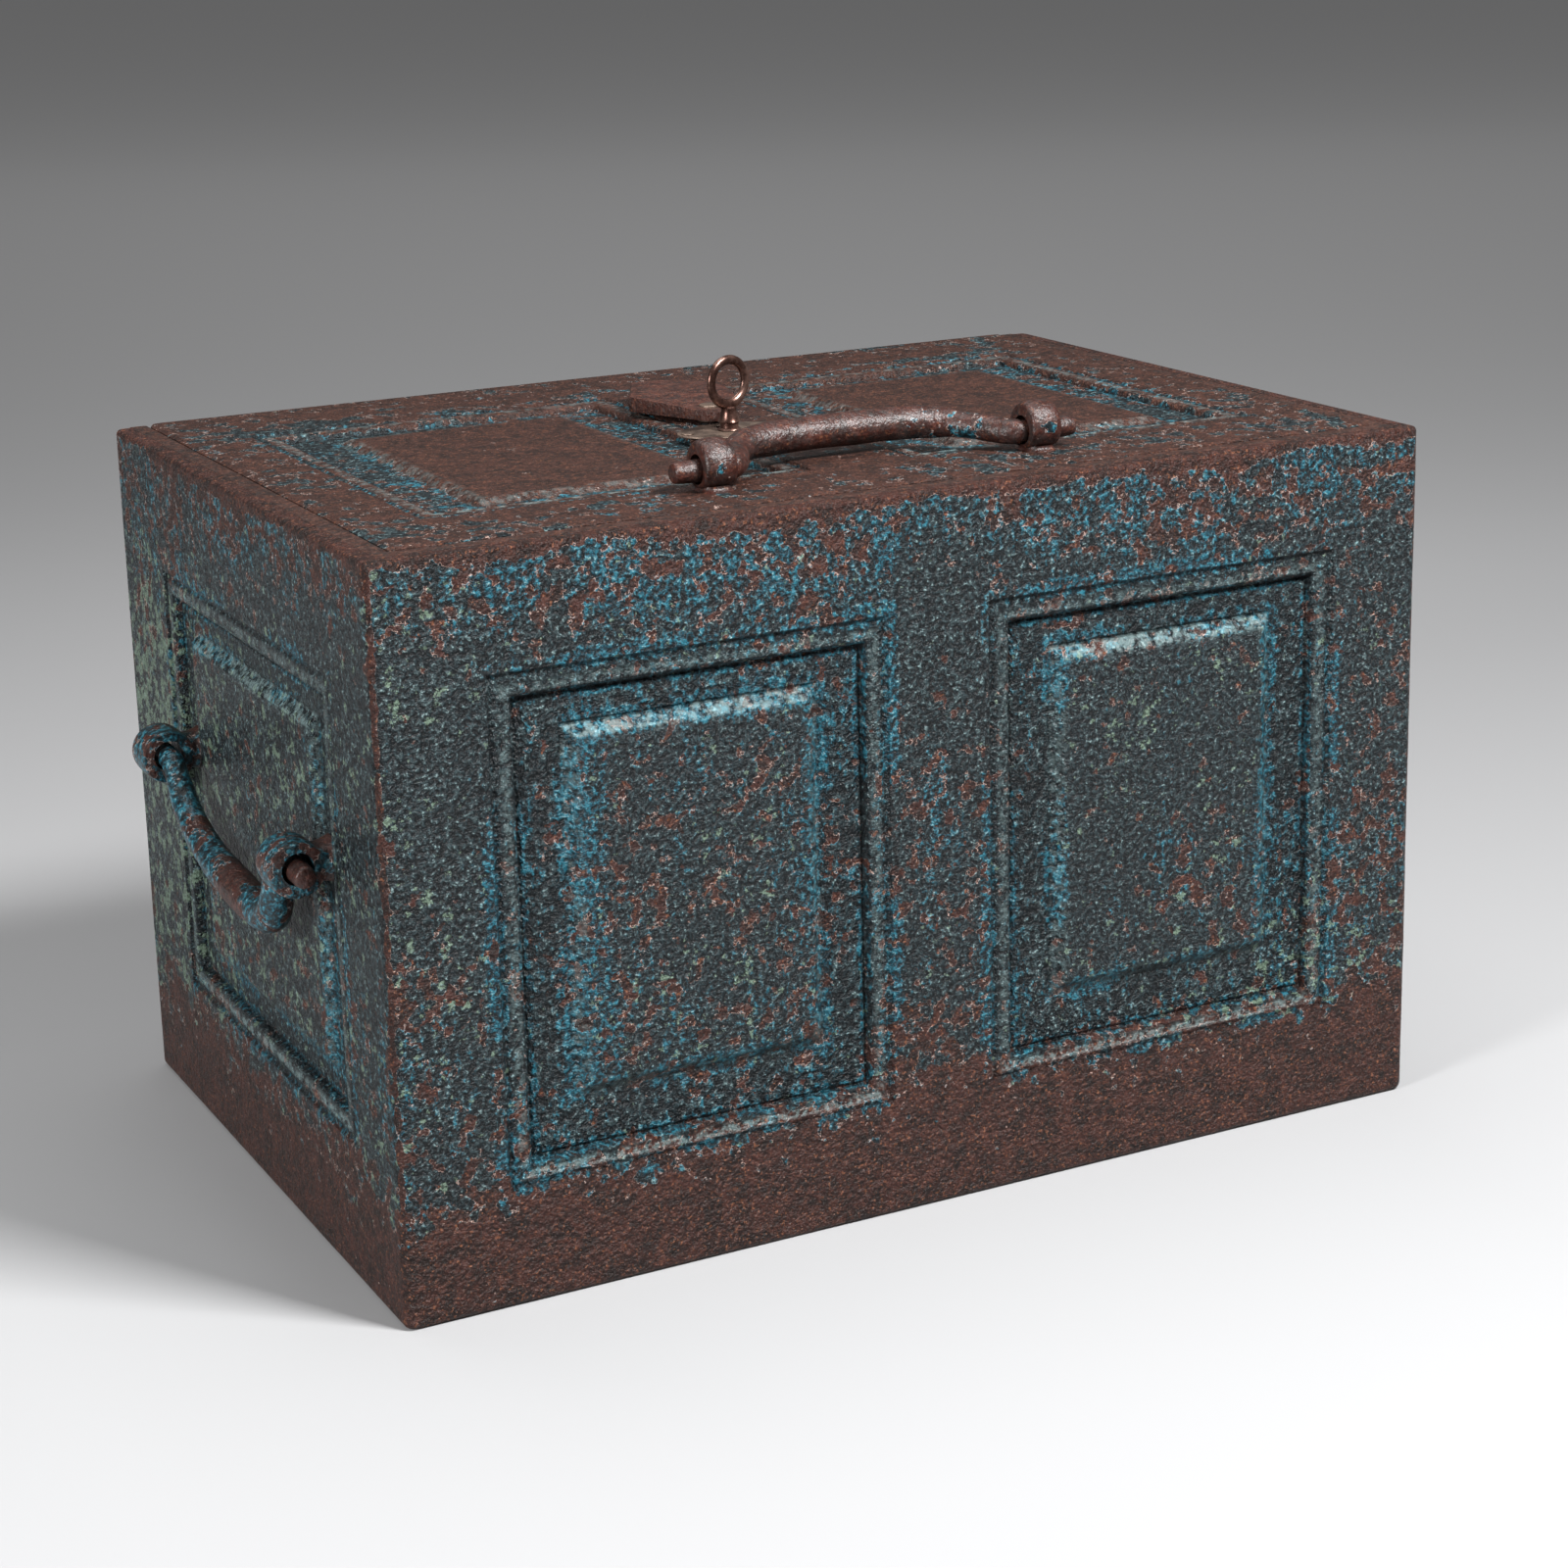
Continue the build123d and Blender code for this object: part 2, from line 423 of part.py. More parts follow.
def build_keyhole_cover():
    """A thick leaf-shaped plate, swung clear of the key; its narrow end turns on a rivet set in the lid."""
    px, py = COVER_PIVOT
    tip_round, rim_bevel, head_room = 1.5, 0.8, 0.3
    with BuildPart() as keyhole_cover:
        with BuildSketch(Plane.XY.offset(COVER_BOTTOM)) as outline:
            with BuildLine():
                Polyline(COVER_FAR, COVER_NEAR, COVER_TIP_LEFT, COVER_TIP_RIGHT)
                ThreePointArc(COVER_TIP_RIGHT, COVER_SHOULDER, COVER_RIGHT)
                ThreePointArc(COVER_RIGHT, COVER_BACK, COVER_FAR)
            make_face()
            fillet(outline.vertices().sort_by(Axis.Y)[:2], tip_round)
        extrude(amount=COVER_TOP - COVER_BOTTOM)
        with BuildSketch(Plane.YZ.offset(COVER_NEAR[0])):
            with BuildLine():
                Polyline((0, COVER_TIP_TOP), (COVER_TIP_RIGHT[1], COVER_TIP_TOP), (COVER_NEAR[1], COVER_TOP),
                         (0, COVER_TOP), close=True)
            make_face()
        extrude(amount=COVER_RIGHT[0] - COVER_NEAR[0] + 1, mode=Mode.SUBTRACT)
        top_face = keyhole_cover.faces().sort_by(Axis.Z)[-1]
        chamfer(top_face.edges().filter_by_position(Axis.Y, COVER_NEAR[1] + 1, COVER_FAR[1] + 1), rim_bevel)
        add(rod((px, py, COVER_BOTTOM), (px, py, COVER_TOP), PIVOT_R + RUNNING), mode=Mode.SUBTRACT)
        add(rod((px, py, PIVOT_TOP - PIVOT_HEAD - head_room), (px, py, COVER_TOP), PIVOT_HEAD_R + head_room),
            mode=Mode.SUBTRACT)
    save(keyhole_cover.part, "keyhole_cover")

    with BuildPart() as cover_pivot:
        add(rod((px, py, LID_BOTTOM), (px, py, PIVOT_TOP), PIVOT_R))
        add(rod((px, py, PIVOT_TOP - PIVOT_HEAD), (px, py, PIVOT_TOP), PIVOT_HEAD_R))
        add(rod((px, py, LID_TOP), (px, py, COVER_BOTTOM - LID_SEAT_GAP), 2 * PIVOT_R))
    save(cover_pivot.part, "cover_pivot")


def build_key():
    """A key with an oval ring bow, a coned collar, a solid shank and a flat bit."""
    seat = LID_TOP + SCUTCHEON + RUNNING
    drum_r, flange, flange_bevel, lip, end_gap = 4.2, 0.8, 0.4, 0.9, 0.3
    axis = Plane(origin=(KEY_X, KEY_Y, seat), x_dir=(1, 0, 0), z_dir=(0, -1, 0))
    turned = Plane(origin=(KEY_X, KEY_Y, 0),
                   x_dir=(cos(radians(KEY_TURNED)), sin(radians(KEY_TURNED)), 0),
                   z_dir=(sin(radians(KEY_TURNED)), -cos(radians(KEY_TURNED)), 0))
    tip, shank_end, top = CAP_BOTTOM - seat, CAP_TOP + end_gap - seat, KEY_DRUM + KEY_CONE
    with BuildPart() as key:
        with BuildSketch(axis):
            with BuildLine():
                Polyline((0, tip), (KEY_TIP_R, tip), (KEY_TIP_R, shank_end), (KEY_R, shank_end), (KEY_R, 0),
                         (KEY_FLANGE_R, 0), (KEY_FLANGE_R, flange), (drum_r, flange + flange_bevel),
                         (drum_r, KEY_DRUM), (KEY_LIP_R, KEY_DRUM), (KEY_LIP_R, KEY_DRUM + lip),
                         (KEY_NECK_R, top), (0, top), close=True)
            make_face()
        revolve(axis=Axis((KEY_X, KEY_Y, 0), (0, 0, 1)))
        with BuildSketch(turned):
            with Locations((0, seat + top + BOW_HALF_Z - BOW_SUNK)):
                Ellipse(BOW_HALF_X, BOW_HALF_Z)
                Ellipse(BOW_HALF_X - BOW_WIRE, BOW_HALF_Z - BOW_WIRE, mode=Mode.SUBTRACT)
        extrude(amount=BOW_WIRE / 2, both=True)
        with BuildSketch(turned):
            with Locations((BIT_LONG / 2, BAR_Z + BIT_TALL / 2)):
                Rectangle(BIT_LONG, BIT_TALL)
        extrude(amount=BIT_THICK / 2, both=True)
    save(key.part, "key")


# ---- lock and boltwork, hung under the lid --------------------------------------------------------------
def corner_points():
    """Places of the cap's screws: both left corners and the rear right one, clear of the lever spring."""
    inward = LOCK_WALL + SCREW_BOSS
    left, right, front, rear = CASE_X[0] + inward, CASE_X[1] - inward, CASE_Y[0] + inward, CASE_Y[1] - inward
    return (left, front), (left, rear), (right, rear)


def build_lock_case():
    (x0, x1), (y0, y1), wall = CASE_X, CASE_Y, LOCK_WALL
    head_top = CAP_BOTTOM + SCREW_HEAD
    with BuildPart() as lock_case:
        add(block(CASE_X, CASE_Y, (CAP_TOP, LID_BOTTOM)))
        add(block((x0 + wall, x1 - wall), (y0 + wall, y1 - wall), (CAP_TOP, ROOF_BOTTOM)), mode=Mode.SUBTRACT)
        add(keyhole(Plane.XY.offset(ROOF_BOTTOM), wall, KEY_R + KEY_SLACK), mode=Mode.SUBTRACT)
        add(block((BAR_X[0] - BAR_SLIDE, BAR_X[1] + BAR_SLIDE), (y0, y0 + wall),
                  (BAR_Z - BAR_SLIDE, BAR_TOP + BAR_SLIDE)), mode=Mode.SUBTRACT)
        for x, y in corner_points():
            add(block((x - SCREW_BOSS, x + SCREW_BOSS), (y - SCREW_BOSS, y + SCREW_BOSS),
                      (CAP_TOP, ROOF_BOTTOM)))
            add(rod((x, y, CAP_TOP), (x, y, CAP_TOP + SCREW_DEEP), SCREW_R), mode=Mode.SUBTRACT)
    save(lock_case.part, "lock_case")

    with BuildPart() as lock_cap:
        add(block(CASE_X, CASE_Y, (CAP_BOTTOM, CAP_TOP)))
        add(rod((KEY_X, KEY_Y, CAP_BOTTOM), (KEY_X, KEY_Y, CAP_TOP), KEY_TIP_R + RUNNING), mode=Mode.SUBTRACT)
        for x, y in corner_points():
            add(rod((x, y, CAP_BOTTOM), (x, y, CAP_TOP), SCREW_R), mode=Mode.SUBTRACT)
            add(rod((x, y, CAP_BOTTOM), (x, y, head_top), SCREW_HEAD_R), mode=Mode.SUBTRACT)
    save(lock_cap.part, "lock_cap")

    screws = []
    for x, y in corner_points():
        with BuildPart(mode=Mode.PRIVATE) as screw:
            add(rod((x, y, CAP_BOTTOM), (x, y, CAP_TOP + SCREW_DEEP), SCREW_R))
            add(rod((x, y, CAP_BOTTOM), (x, y, head_top), SCREW_HEAD_R))
        screws.append(screw.part)
    save(Compound(screws), "lock_screws")


def build_lock_bolt():
    """A flat bar with a notch for the bit, a stump for the lever gates and a tongue on the cross bar."""
    notch_x = (BAR_X[0], KEY_X + BIT_LONG + KEY_SLACK)
    notch_y = (KEY_Y - BIT_THICK - KEY_SLACK, KEY_Y + 2 * BIT_THICK + KEY_SLACK)
    lap_inset, lap_overlap = 2, 10
    lap_front, lap_rear = CROSS_BAR_Y[0] + lap_inset, CROSS_BAR_Y[1] + lap_overlap
    with BuildPart() as lock_bolt:
        add(block(BAR_X, (CROSS_BAR_Y[1], BAR_REAR), (BAR_Z, BAR_TOP)))
        add(block(BAR_X, (lap_front, lap_rear), (BAR_TOP, BAR_TOP + LAP_THICK)))
        add(block(notch_x, notch_y, (BAR_Z, BAR_TOP)), mode=Mode.SUBTRACT)
        add(rod((STUMP_X, STUMP_Y, BAR_TOP), (STUMP_X, STUMP_Y, LEVER_TOP + LEVER_GAP), STUMP_R))
        for x in BOLT_RIVET_X:
            add(rod((x, LAP_Y, BAR_TOP), (x, LAP_Y, BAR_TOP + LAP_THICK), BOLT_RIVET_R), mode=Mode.SUBTRACT)
    save(lock_bolt.part, "lock_bolt")


def build_bolts():
    """The cross bar and the two round bolts that it pushes under the front of the rim."""
    boss_half, bolt_chamfer, keeper_slack = 8, 1, 1
    lap_top = BAR_TOP + LAP_THICK
    with BuildPart() as cross_bar:
        add(block((-BOLT_X - 2 * boss_half, BOLT_X + 2 * boss_half), CROSS_BAR_Y, (BAR_Z, BAR_TOP)))
        for side in (-1, 1):
            add(block(sorted((side * (BOLT_X - boss_half), side * (BOLT_X + boss_half))), CROSS_BAR_Y,
                      (BOLT_Z - BOLT_R, BOLT_Z + BOLT_R)))
            add(rod((side * BOLT_X, CROSS_BAR_Y[0], BOLT_Z), (side * BOLT_X, CROSS_BAR_Y[1], BOLT_Z),
                    TENON_R), mode=Mode.SUBTRACT)
        for x in BOLT_RIVET_X:
            add(rod((x, LAP_Y, BAR_Z), (x, LAP_Y, BAR_TOP), BOLT_RIVET_R), mode=Mode.SUBTRACT)
    save(cross_bar.part, "cross_bar")

    rivets = []
    for x in BOLT_RIVET_X:
        with BuildPart(mode=Mode.PRIVATE) as rivet:
            add(rod((x, LAP_Y, BAR_Z), (x, LAP_Y, lap_top), BOLT_RIVET_R))
            add(rod((x, LAP_Y, lap_top), (x, LAP_Y, lap_top + BOLT_RIVET_HEAD), BOLT_RIVET_HEAD_R))
        rivets.append(rivet.part)
    save(Compound(rivets), "bolt_rivets")

    for hand, side in (("left", -1), ("right", 1)):
        x = side * BOLT_X
        with BuildPart() as bolt:
            add(rod((x, CROSS_BAR_Y[0], BOLT_Z), (x, BOLT_TIP_Y, BOLT_Z), BOLT_R))
            add(rod((x, CROSS_BAR_Y[0], BOLT_Z), (x, CROSS_BAR_Y[1], BOLT_Z), TENON_R))
            chamfer(bolt.edges().group_by(Axis.Y)[0], bolt_chamfer)
        save(bolt.part, f"{hand}_bolt")

        with BuildPart() as guide:
            add(block((x - GUIDE_HALF, x + GUIDE_HALF), GUIDE_Y, (CAP_BOTTOM, LID_BOTTOM)))
            add(rod((x, GUIDE_Y[0], BOLT_Z), (x, GUIDE_Y[1], BOLT_Z), BOLT_R + RUNNING), mode=Mode.SUBTRACT)
        save(guide.part, f"{hand}_bolt_guide")

        keeper_y = (-RIM_Y, -RIM_Y + LEDGE_WIDE)
        with BuildPart() as keeper:
            add(block((x - KEEPER_HALF, x + KEEPER_HALF), keeper_y, (CAP_BOTTOM, LEDGE_BOTTOM)))
            add(rod((x, keeper_y[0], BOLT_Z), (x, keeper_y[1], BOLT_Z), BOLT_R + keeper_slack),
                mode=Mode.SUBTRACT)
        save(keeper.part, f"{hand}_keeper")


def build_levers():
    """Three levers on one post, each with a window for the bolt's stump, and the spring beside them."""
    for number in range(LEVER_COUNT):
        low = LEVER_Z + number * (LEVER_THICK + LEVER_GAP)
        with BuildPart() as lever:
            add(block(LEVER_X, LEVER_Y, (low, low + LEVER_THICK)))
            add(block(WINDOW_X, WINDOW_Y, (low, low + LEVER_THICK)), mode=Mode.SUBTRACT)
            add(rod((POST_X, POST_Y, low), (POST_X, POST_Y, low + LEVER_THICK), POST_R + RUNNING),
                mode=Mode.SUBTRACT)
        save(lever.part, f"lever_{number + 1}")

    near, (front, rear) = LEVER_X[1], SPRING_Y
    with BuildPart() as lever_spring:
        with BuildSketch(Plane.XY.offset(LEVER_Z)):
            with BuildLine():
                Polyline((near, rear), (near, rear - 2 * POST_R), (near + SPRING_OUT, front),
                         (near + SPRING_OUT + SPRING_THICK, front), (near + SPRING_THICK, rear), close=True)
            make_face()
        extrude(amount=LEVER_TOP - LEVER_GAP - LEVER_Z)
    save(lever_spring.part, "lever_spring")

    save(rod((POST_X, POST_Y, CAP_TOP), (POST_X, POST_Y, ROOF_BOTTOM), POST_R), "lever_post")


# ---- rivet heads ------------------------------------------------------------------------------------------
def rivet_solid(face_point, inward):
    """A bevelled rivet head standing on a face; its shank is left out, as it is one with the plates."""
    bevel = 1
    with BuildPart(mode=Mode.PRIVATE) as rivet:
        point, inward = Vector(*face_point), Vector(*inward)
        with BuildSketch(Plane(origin=point, z_dir=inward)):
            Circle(RIVET_HEAD_R)
        extrude(amount=RIVET_HEAD)
        chamfer(rivet.edges(), bevel)
    return rivet.part


def build_rivets():
    """Rivet heads on the inner legs of the corner angles and along the base frame."""
    web_x, web_y = INNER_X - ANGLE_WEB, INNER_Y - ANGLE_WEB
    row_x, row_y = INNER_X - RIVET_IN, INNER_Y - RIVET_IN
    corners = [(sx, sy) for sx in (-1, 1) for sy in (-1, 1)]
    heads = [rivet_solid((sx * web_x, sy * row_y, z), (-sx, 0, 0))
             for sx, sy in corners for z in ANGLE_RIVET_Z]
    heads += [rivet_solid((sx * row_x, sy * web_y, z), (0, -sy, 0))
              for sx, sy in corners for z in ANGLE_RIVET_Z]
    save(Compound(heads), "angle_rivets")

    top = PLATE + ANGLE_WEB
    heads = [rivet_solid((x, sy * row_y, top), (0, 0, 1)) for sy in (-1, 1) for x in BASE_RIVET_X]
    heads += [rivet_solid((sx * row_x, y, top), (0, 0, 1)) for sx in (-1, 1) for y in BASE_RIVET_Y]
    save(Compound(heads), "base_rivets")


def build_hinge_rivets():
    """Domed heads on the outside of the fixed hinge leaves."""
    heads = [rivet_solid((side * HINGE_X + x, HALF_Y + LEAF, HINGE_Z - down), (0, 1, 0))
             for side in (-1, 1) for x in LEAF_RIVET_X for down in LEAF_RIVET_DOWN]
    save(Compound(heads), "hinge_rivets")


os.makedirs("parts", exist_ok=True)
build_front_plate()
build_back_plate()
build_side_plates()
build_base_plate()
build_rim_frame()
build_base_frame()
build_corner_angles()
build_lid_plate()
build_hinges()
build_eyes()
build_lid_bail()
build_side_bails()
build_escutcheon()
build_keyhole_cover()
build_key()
build_lock_case()
build_lock_bolt()
build_bolts()
build_levers()
build_rivets()
build_hinge_rivets()
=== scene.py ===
from math import cos, pi, radians, sin

import bmesh
import bpy
import numpy as np
from mathutils import Matrix, Vector


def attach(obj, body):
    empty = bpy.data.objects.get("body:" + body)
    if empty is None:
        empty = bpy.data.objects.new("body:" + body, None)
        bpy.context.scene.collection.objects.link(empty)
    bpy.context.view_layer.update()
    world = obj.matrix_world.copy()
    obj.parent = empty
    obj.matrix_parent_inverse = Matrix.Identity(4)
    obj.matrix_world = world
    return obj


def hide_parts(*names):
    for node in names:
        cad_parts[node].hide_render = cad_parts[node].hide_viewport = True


# An old cast-iron strongbox: worn teal paint over brown iron, forged bail handles and a key in its lock.
# Shapes are worked out in millimetres in the row frame and turned into metres as each mesh is made.

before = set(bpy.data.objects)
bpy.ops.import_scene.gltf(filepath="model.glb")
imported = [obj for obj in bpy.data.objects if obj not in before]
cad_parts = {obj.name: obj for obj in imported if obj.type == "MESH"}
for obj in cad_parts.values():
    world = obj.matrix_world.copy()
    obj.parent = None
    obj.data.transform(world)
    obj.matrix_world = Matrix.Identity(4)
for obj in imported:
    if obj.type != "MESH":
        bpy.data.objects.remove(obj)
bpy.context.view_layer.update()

MM = 0.001

# ---- sizes shared with the part --------------------------------------------------------------------
HALF_X, HALF_Y, HEIGHT, PLATE = 250.0, 169.0, 317.0, 8.0
BACK_TOP = 308.7
CORNER, TOP_ROUND, BOTTOM_ROUND, SEAM_IN = 5.0, 2.2, 3.5, 3.0
LID_X, LID_FRONT, LID_BOTTOM, LID_TOP, LID_CORNER = 233.6, -152.6, 309.0, 318.0, 6.0
RELIEF, LID_RELIEF = 4.0, 3.0
FRONT_PANELS = [((-203, -24, 50, 267), (-170, -57, 85, 241)), ((24, 203, 50, 267), (57, 170, 85, 241))]
SIDE_PANELS = [((-119, 103, 62, 262), (-93, 71, 87, 239))]
LID_PANELS = [((-203, -24, -107, 110), (-170, -57, -84, 82)), ((24, 203, -107, 110), (57, 170, -84, 82))]
KEY_HOLE_X, KEY_HOLE_Y = (-20.0, -8.0), (-12.0, 9.0)

# ---- moulding profile ----------------------------------------------------------------------------------
QUIRK_WIDE, QUIRK_DEEP = 1.3, 0.34
GROOVE_AT, GROOVE_WIDE, GROOVE_DEEP = 12.1, 0.8, 0.28
BEAD_MIDDLE, BEAD_HALF, BEAD_DROP = 7.0, 4.5, 0.4
FIELD_START, FIELD_WIDE, FIELD_DROP = -0.8, 6.4, 0.3
EDGE_SPAN, FIELD_SPAN = (0.8, 14), (1.4, 6)     # how far finely divided mesh reaches out and in from a line
FINE, COARSE = 0.8, 2.2
UNEVEN = [(0.34, 74, 1), (0.16, 23, 2), (0.12, 8, 3)]       # the casting's waves: depth, width and seed


# ---- smooth random values ----------------------------------------------------------------------------
HASH_X, HASH_Y, HASH_Z, HASH_SEED, HASH_MIX = 73856093, 19349663, 83492791, 2654435, 1274126177
LOW_BITS = 0xFFFF


def lattice(cells, seed):
    """Repeatable values between 0 and 1 at whole-number points."""
    x, y, z = (cells[..., axis].astype(np.int64) for axis in range(3))
    mixed = (x * HASH_X) ^ (y * HASH_Y) ^ (z * HASH_Z) ^ (seed * HASH_SEED)
    mixed = (mixed ^ (mixed >> 13)) * HASH_MIX
    return ((mixed ^ (mixed >> 16)) & LOW_BITS) / LOW_BITS


def value_noise(points, size, seed):
    """Smooth noise between 0 and 1, with features about size millimetres wide."""
    scaled = points / size
    base = np.floor(scaled)
    part = scaled - base
    part = part * part * (3 - 2 * part)
    total = np.zeros(points.shape[:-1])
    for corner in np.ndindex(2, 2, 2):
        weight = np.prod(np.where(np.array(corner), part, 1 - part), axis=-1)
        total += weight * lattice(base + corner, seed)
    return total


def ramp(value, low, high):
    """0 below low, 1 above high, eased between; low may be the larger of the two."""
    part = np.clip((value - low) / (high - low), 0, 1)
    return part * part * (3 - 2 * part)


def unevenness(points):
    """How far, in millimetres, the cast surface lies below its true plane."""
    return sum(deep * value_noise(points, wide, seed) for deep, wide, seed in UNEVEN)


# ---- moulded panels ------------------------------------------------------------------------------------
def inside(u, v, bounds):
    """Distance in from the nearest side of a rectangle, negative outside it."""
    u0, u1, v0, v1 = bounds
    return np.minimum(np.minimum(u - u0, u1 - u), np.minimum(v - v0, v1 - v))


def panel_depth(u, v, panels, relief):
    """Depth of the moulded panels below the face: quirk, bead, sunk margin and raised field."""
    depth = np.zeros_like(u)
    for outer, field in panels:
        edge, raised = inside(u, v, outer), inside(u, v, field)
        sunk = relief * (QUIRK_DEEP * ramp(edge, 0, QUIRK_WIDE)
                         + (1 - QUIRK_DEEP) * ramp(edge, BEAD_MIDDLE, BEAD_MIDDLE + BEAD_HALF))
        across = np.clip(np.abs(edge - BEAD_MIDDLE) / BEAD_HALF, 0, 1)
        sunk = sunk + (BEAD_DROP - sunk) * np.sqrt(1 - across ** 2)
        sunk = sunk + relief * GROOVE_DEEP * np.exp(-((edge - GROOVE_AT) / GROOVE_WIDE) ** 2)
        lift = ramp(raised, FIELD_START, FIELD_START + FIELD_WIDE)
        depth = np.maximum(depth, sunk + (FIELD_DROP - sunk) * lift)
    return depth


def panel_marks(panels, along):
    """Spans on one axis where a moulding needs closely spaced lines."""
    spans = []
    for outer, field in panels:
        for bounds, (out, past) in ((outer, EDGE_SPAN), (field, FIELD_SPAN)):
            low, high = bounds[2 * along:2 * along + 2]
            spans += [(low - out, low + past), (high - past, high + out)]
    return sorted(spans)


def grid_lines(low, high, spans):
    """Positions from low to high, closely spaced inside the spans and wider between them."""
    lines = [low]
    for start, end in spans + [(high, high)]:
        if start > lines[-1]:
            lines += list(np.linspace(lines[-1], start, int((start - lines[-1]) / COARSE) + 2)[1:])
        if end > start:
            lines += list(np.linspace(start, end, int((end - start) / FINE) + 1)[1:])
    return np.array(lines)


# ---- meshes --------------------------------------------------------------------------------------------
def finish_mesh(bm, name, sharp=42):
    """Turn a working mesh in millimetres into a shown object with clean, outward faces."""
    bmesh.ops.remove_doubles(bm, verts=bm.verts, dist=1e-3)
    bmesh.ops.dissolve_degenerate(bm, edges=bm.edges, dist=1e-4)
    bmesh.ops.recalc_face_normals(bm, faces=bm.faces)
    bmesh.ops.scale(bm, vec=(MM, MM, MM), verts=bm.verts)
    mesh = bpy.data.meshes.new(name)
    bm.to_mesh(mesh)
    bm.free()
    mesh.shade_smooth()
    mesh.set_sharp_from_angle(angle=radians(sharp))
    made = bpy.data.objects.new(name, mesh)
    bpy.context.scene.collection.objects.link(made)
    return made


def loop_grid(rows, caps=True):
    """A skin from rows of points, each row a closed ring, joined row to row; caps closes its two ends."""
    bm = bmesh.new()
    rings = [[bm.verts.new(point) for point in row] for row in rows]
    for near, far in zip(rings, rings[1:]):
        for a in range(len(near)):
            b = (a + 1) % len(near)
            bm.faces.new((near[a], near[b], far[b], far[a]))
    if caps:
        bm.faces.new(rings[0])
        bm.faces.new(rings[-1])
    return bm


def positions(made):
    """Vertex positions of an object's mesh, in millimetres."""
    found = np.zeros(len(made.data.vertices) * 3)
    made.data.vertices.foreach_get("co", found)
    return found.reshape(-1, 3) / MM


def set_masks(made, **masks):
    """Store per-vertex values between 0 and 1 for the material to use."""
    count = len(made.data.vertices)
    for name, values in masks.items():
        layer = made.data.attributes.new(name, "FLOAT", "POINT")
        layer.data.foreach_set("value", np.clip(values + np.zeros(count), 0, 1).astype(np.float32))


def show(made, body, material, node):
    """Give a piece its material and body, and let it stand for one of the part's nodes."""
    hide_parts(node)
    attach(made, body)
    made.data.materials.append(material)


# ---- case walls ------------------------------------------------------------------------------------------
ARC_STEPS = 8


def corner_arc(centre, start_angle):
    """Points and outward directions round an upright corner, a quarter turn from start_angle."""
    turns = [radians(start_angle + 90 * step / ARC_STEPS) for step in range(ARC_STEPS + 1)]
    return [(centre[0] + CORNER * cos(t), centre[1] + CORNER * sin(t), cos(t), sin(t)) for t in turns]


def wall(name, path, inner, levels, top, depth_at):
    """A case plate swept along a path in plan, with eased top and bottom edges and a flat inner face.

    The path's rows are a point and its outward direction; inner has the matching points inside.
    """
    path, inner = np.array(path, float), np.array(inner, float)
    outward = path[:, 2:]
    columns = []
    turns = np.radians(np.linspace(0, 90, 5))
    # one upright section, as rows of inset, height and share of the way to the inner face
    ring = [(BOTTOM_ROUND * (1 - sin(t)), BOTTOM_ROUND * (1 - cos(t)), 0) for t in turns[:-1]]
    ring += [(0, z, 0) for z in levels]
    ring += [(TOP_ROUND * (1 - cos(t)), top - TOP_ROUND * (1 - sin(t)), 0) for t in turns[1:]]
    ring += [(TOP_ROUND, top, share) for share in (0.33, 0.66, 1)]
    ring += [(0, z, 1) for z in np.linspace(top, 0, 7)[1:]]
    ring += [(BOTTOM_ROUND, 0, share) for share in (0.66, 0.33)]
    for inset, z, share in ring:
        outer = path[:, :2] - outward * inset
        flat = np.column_stack([path[:, :2], np.full(len(path), z)])
        if share == 0:
            sunk = depth_at(flat) + unevenness(flat)
            room = 1 if inset == 0 else max(0, 1 - inset / TOP_ROUND)
            outer = outer - outward * (sunk * room)[:, None]
        point = outer + (inner - outer) * share
        columns.append(np.column_stack([point, np.full(len(path), z)]))
    return finish_mesh(loop_grid(np.array(columns).transpose(1, 0, 2)), name)


def front_depth(points):
    on_front = points[:, 1] < -HALF_Y + CORNER / 2
    return np.where(on_front, panel_depth(points[:, 0], points[:, 2], FRONT_PANELS, RELIEF), 0)


def side_depth(points):
    on_side = np.abs(points[:, 0]) > HALF_X - CORNER / 2
    return np.where(on_side, panel_depth(points[:, 1], points[:, 2], SIDE_PANELS, RELIEF), 0)


def no_depth(points):
    return np.zeros(len(points))


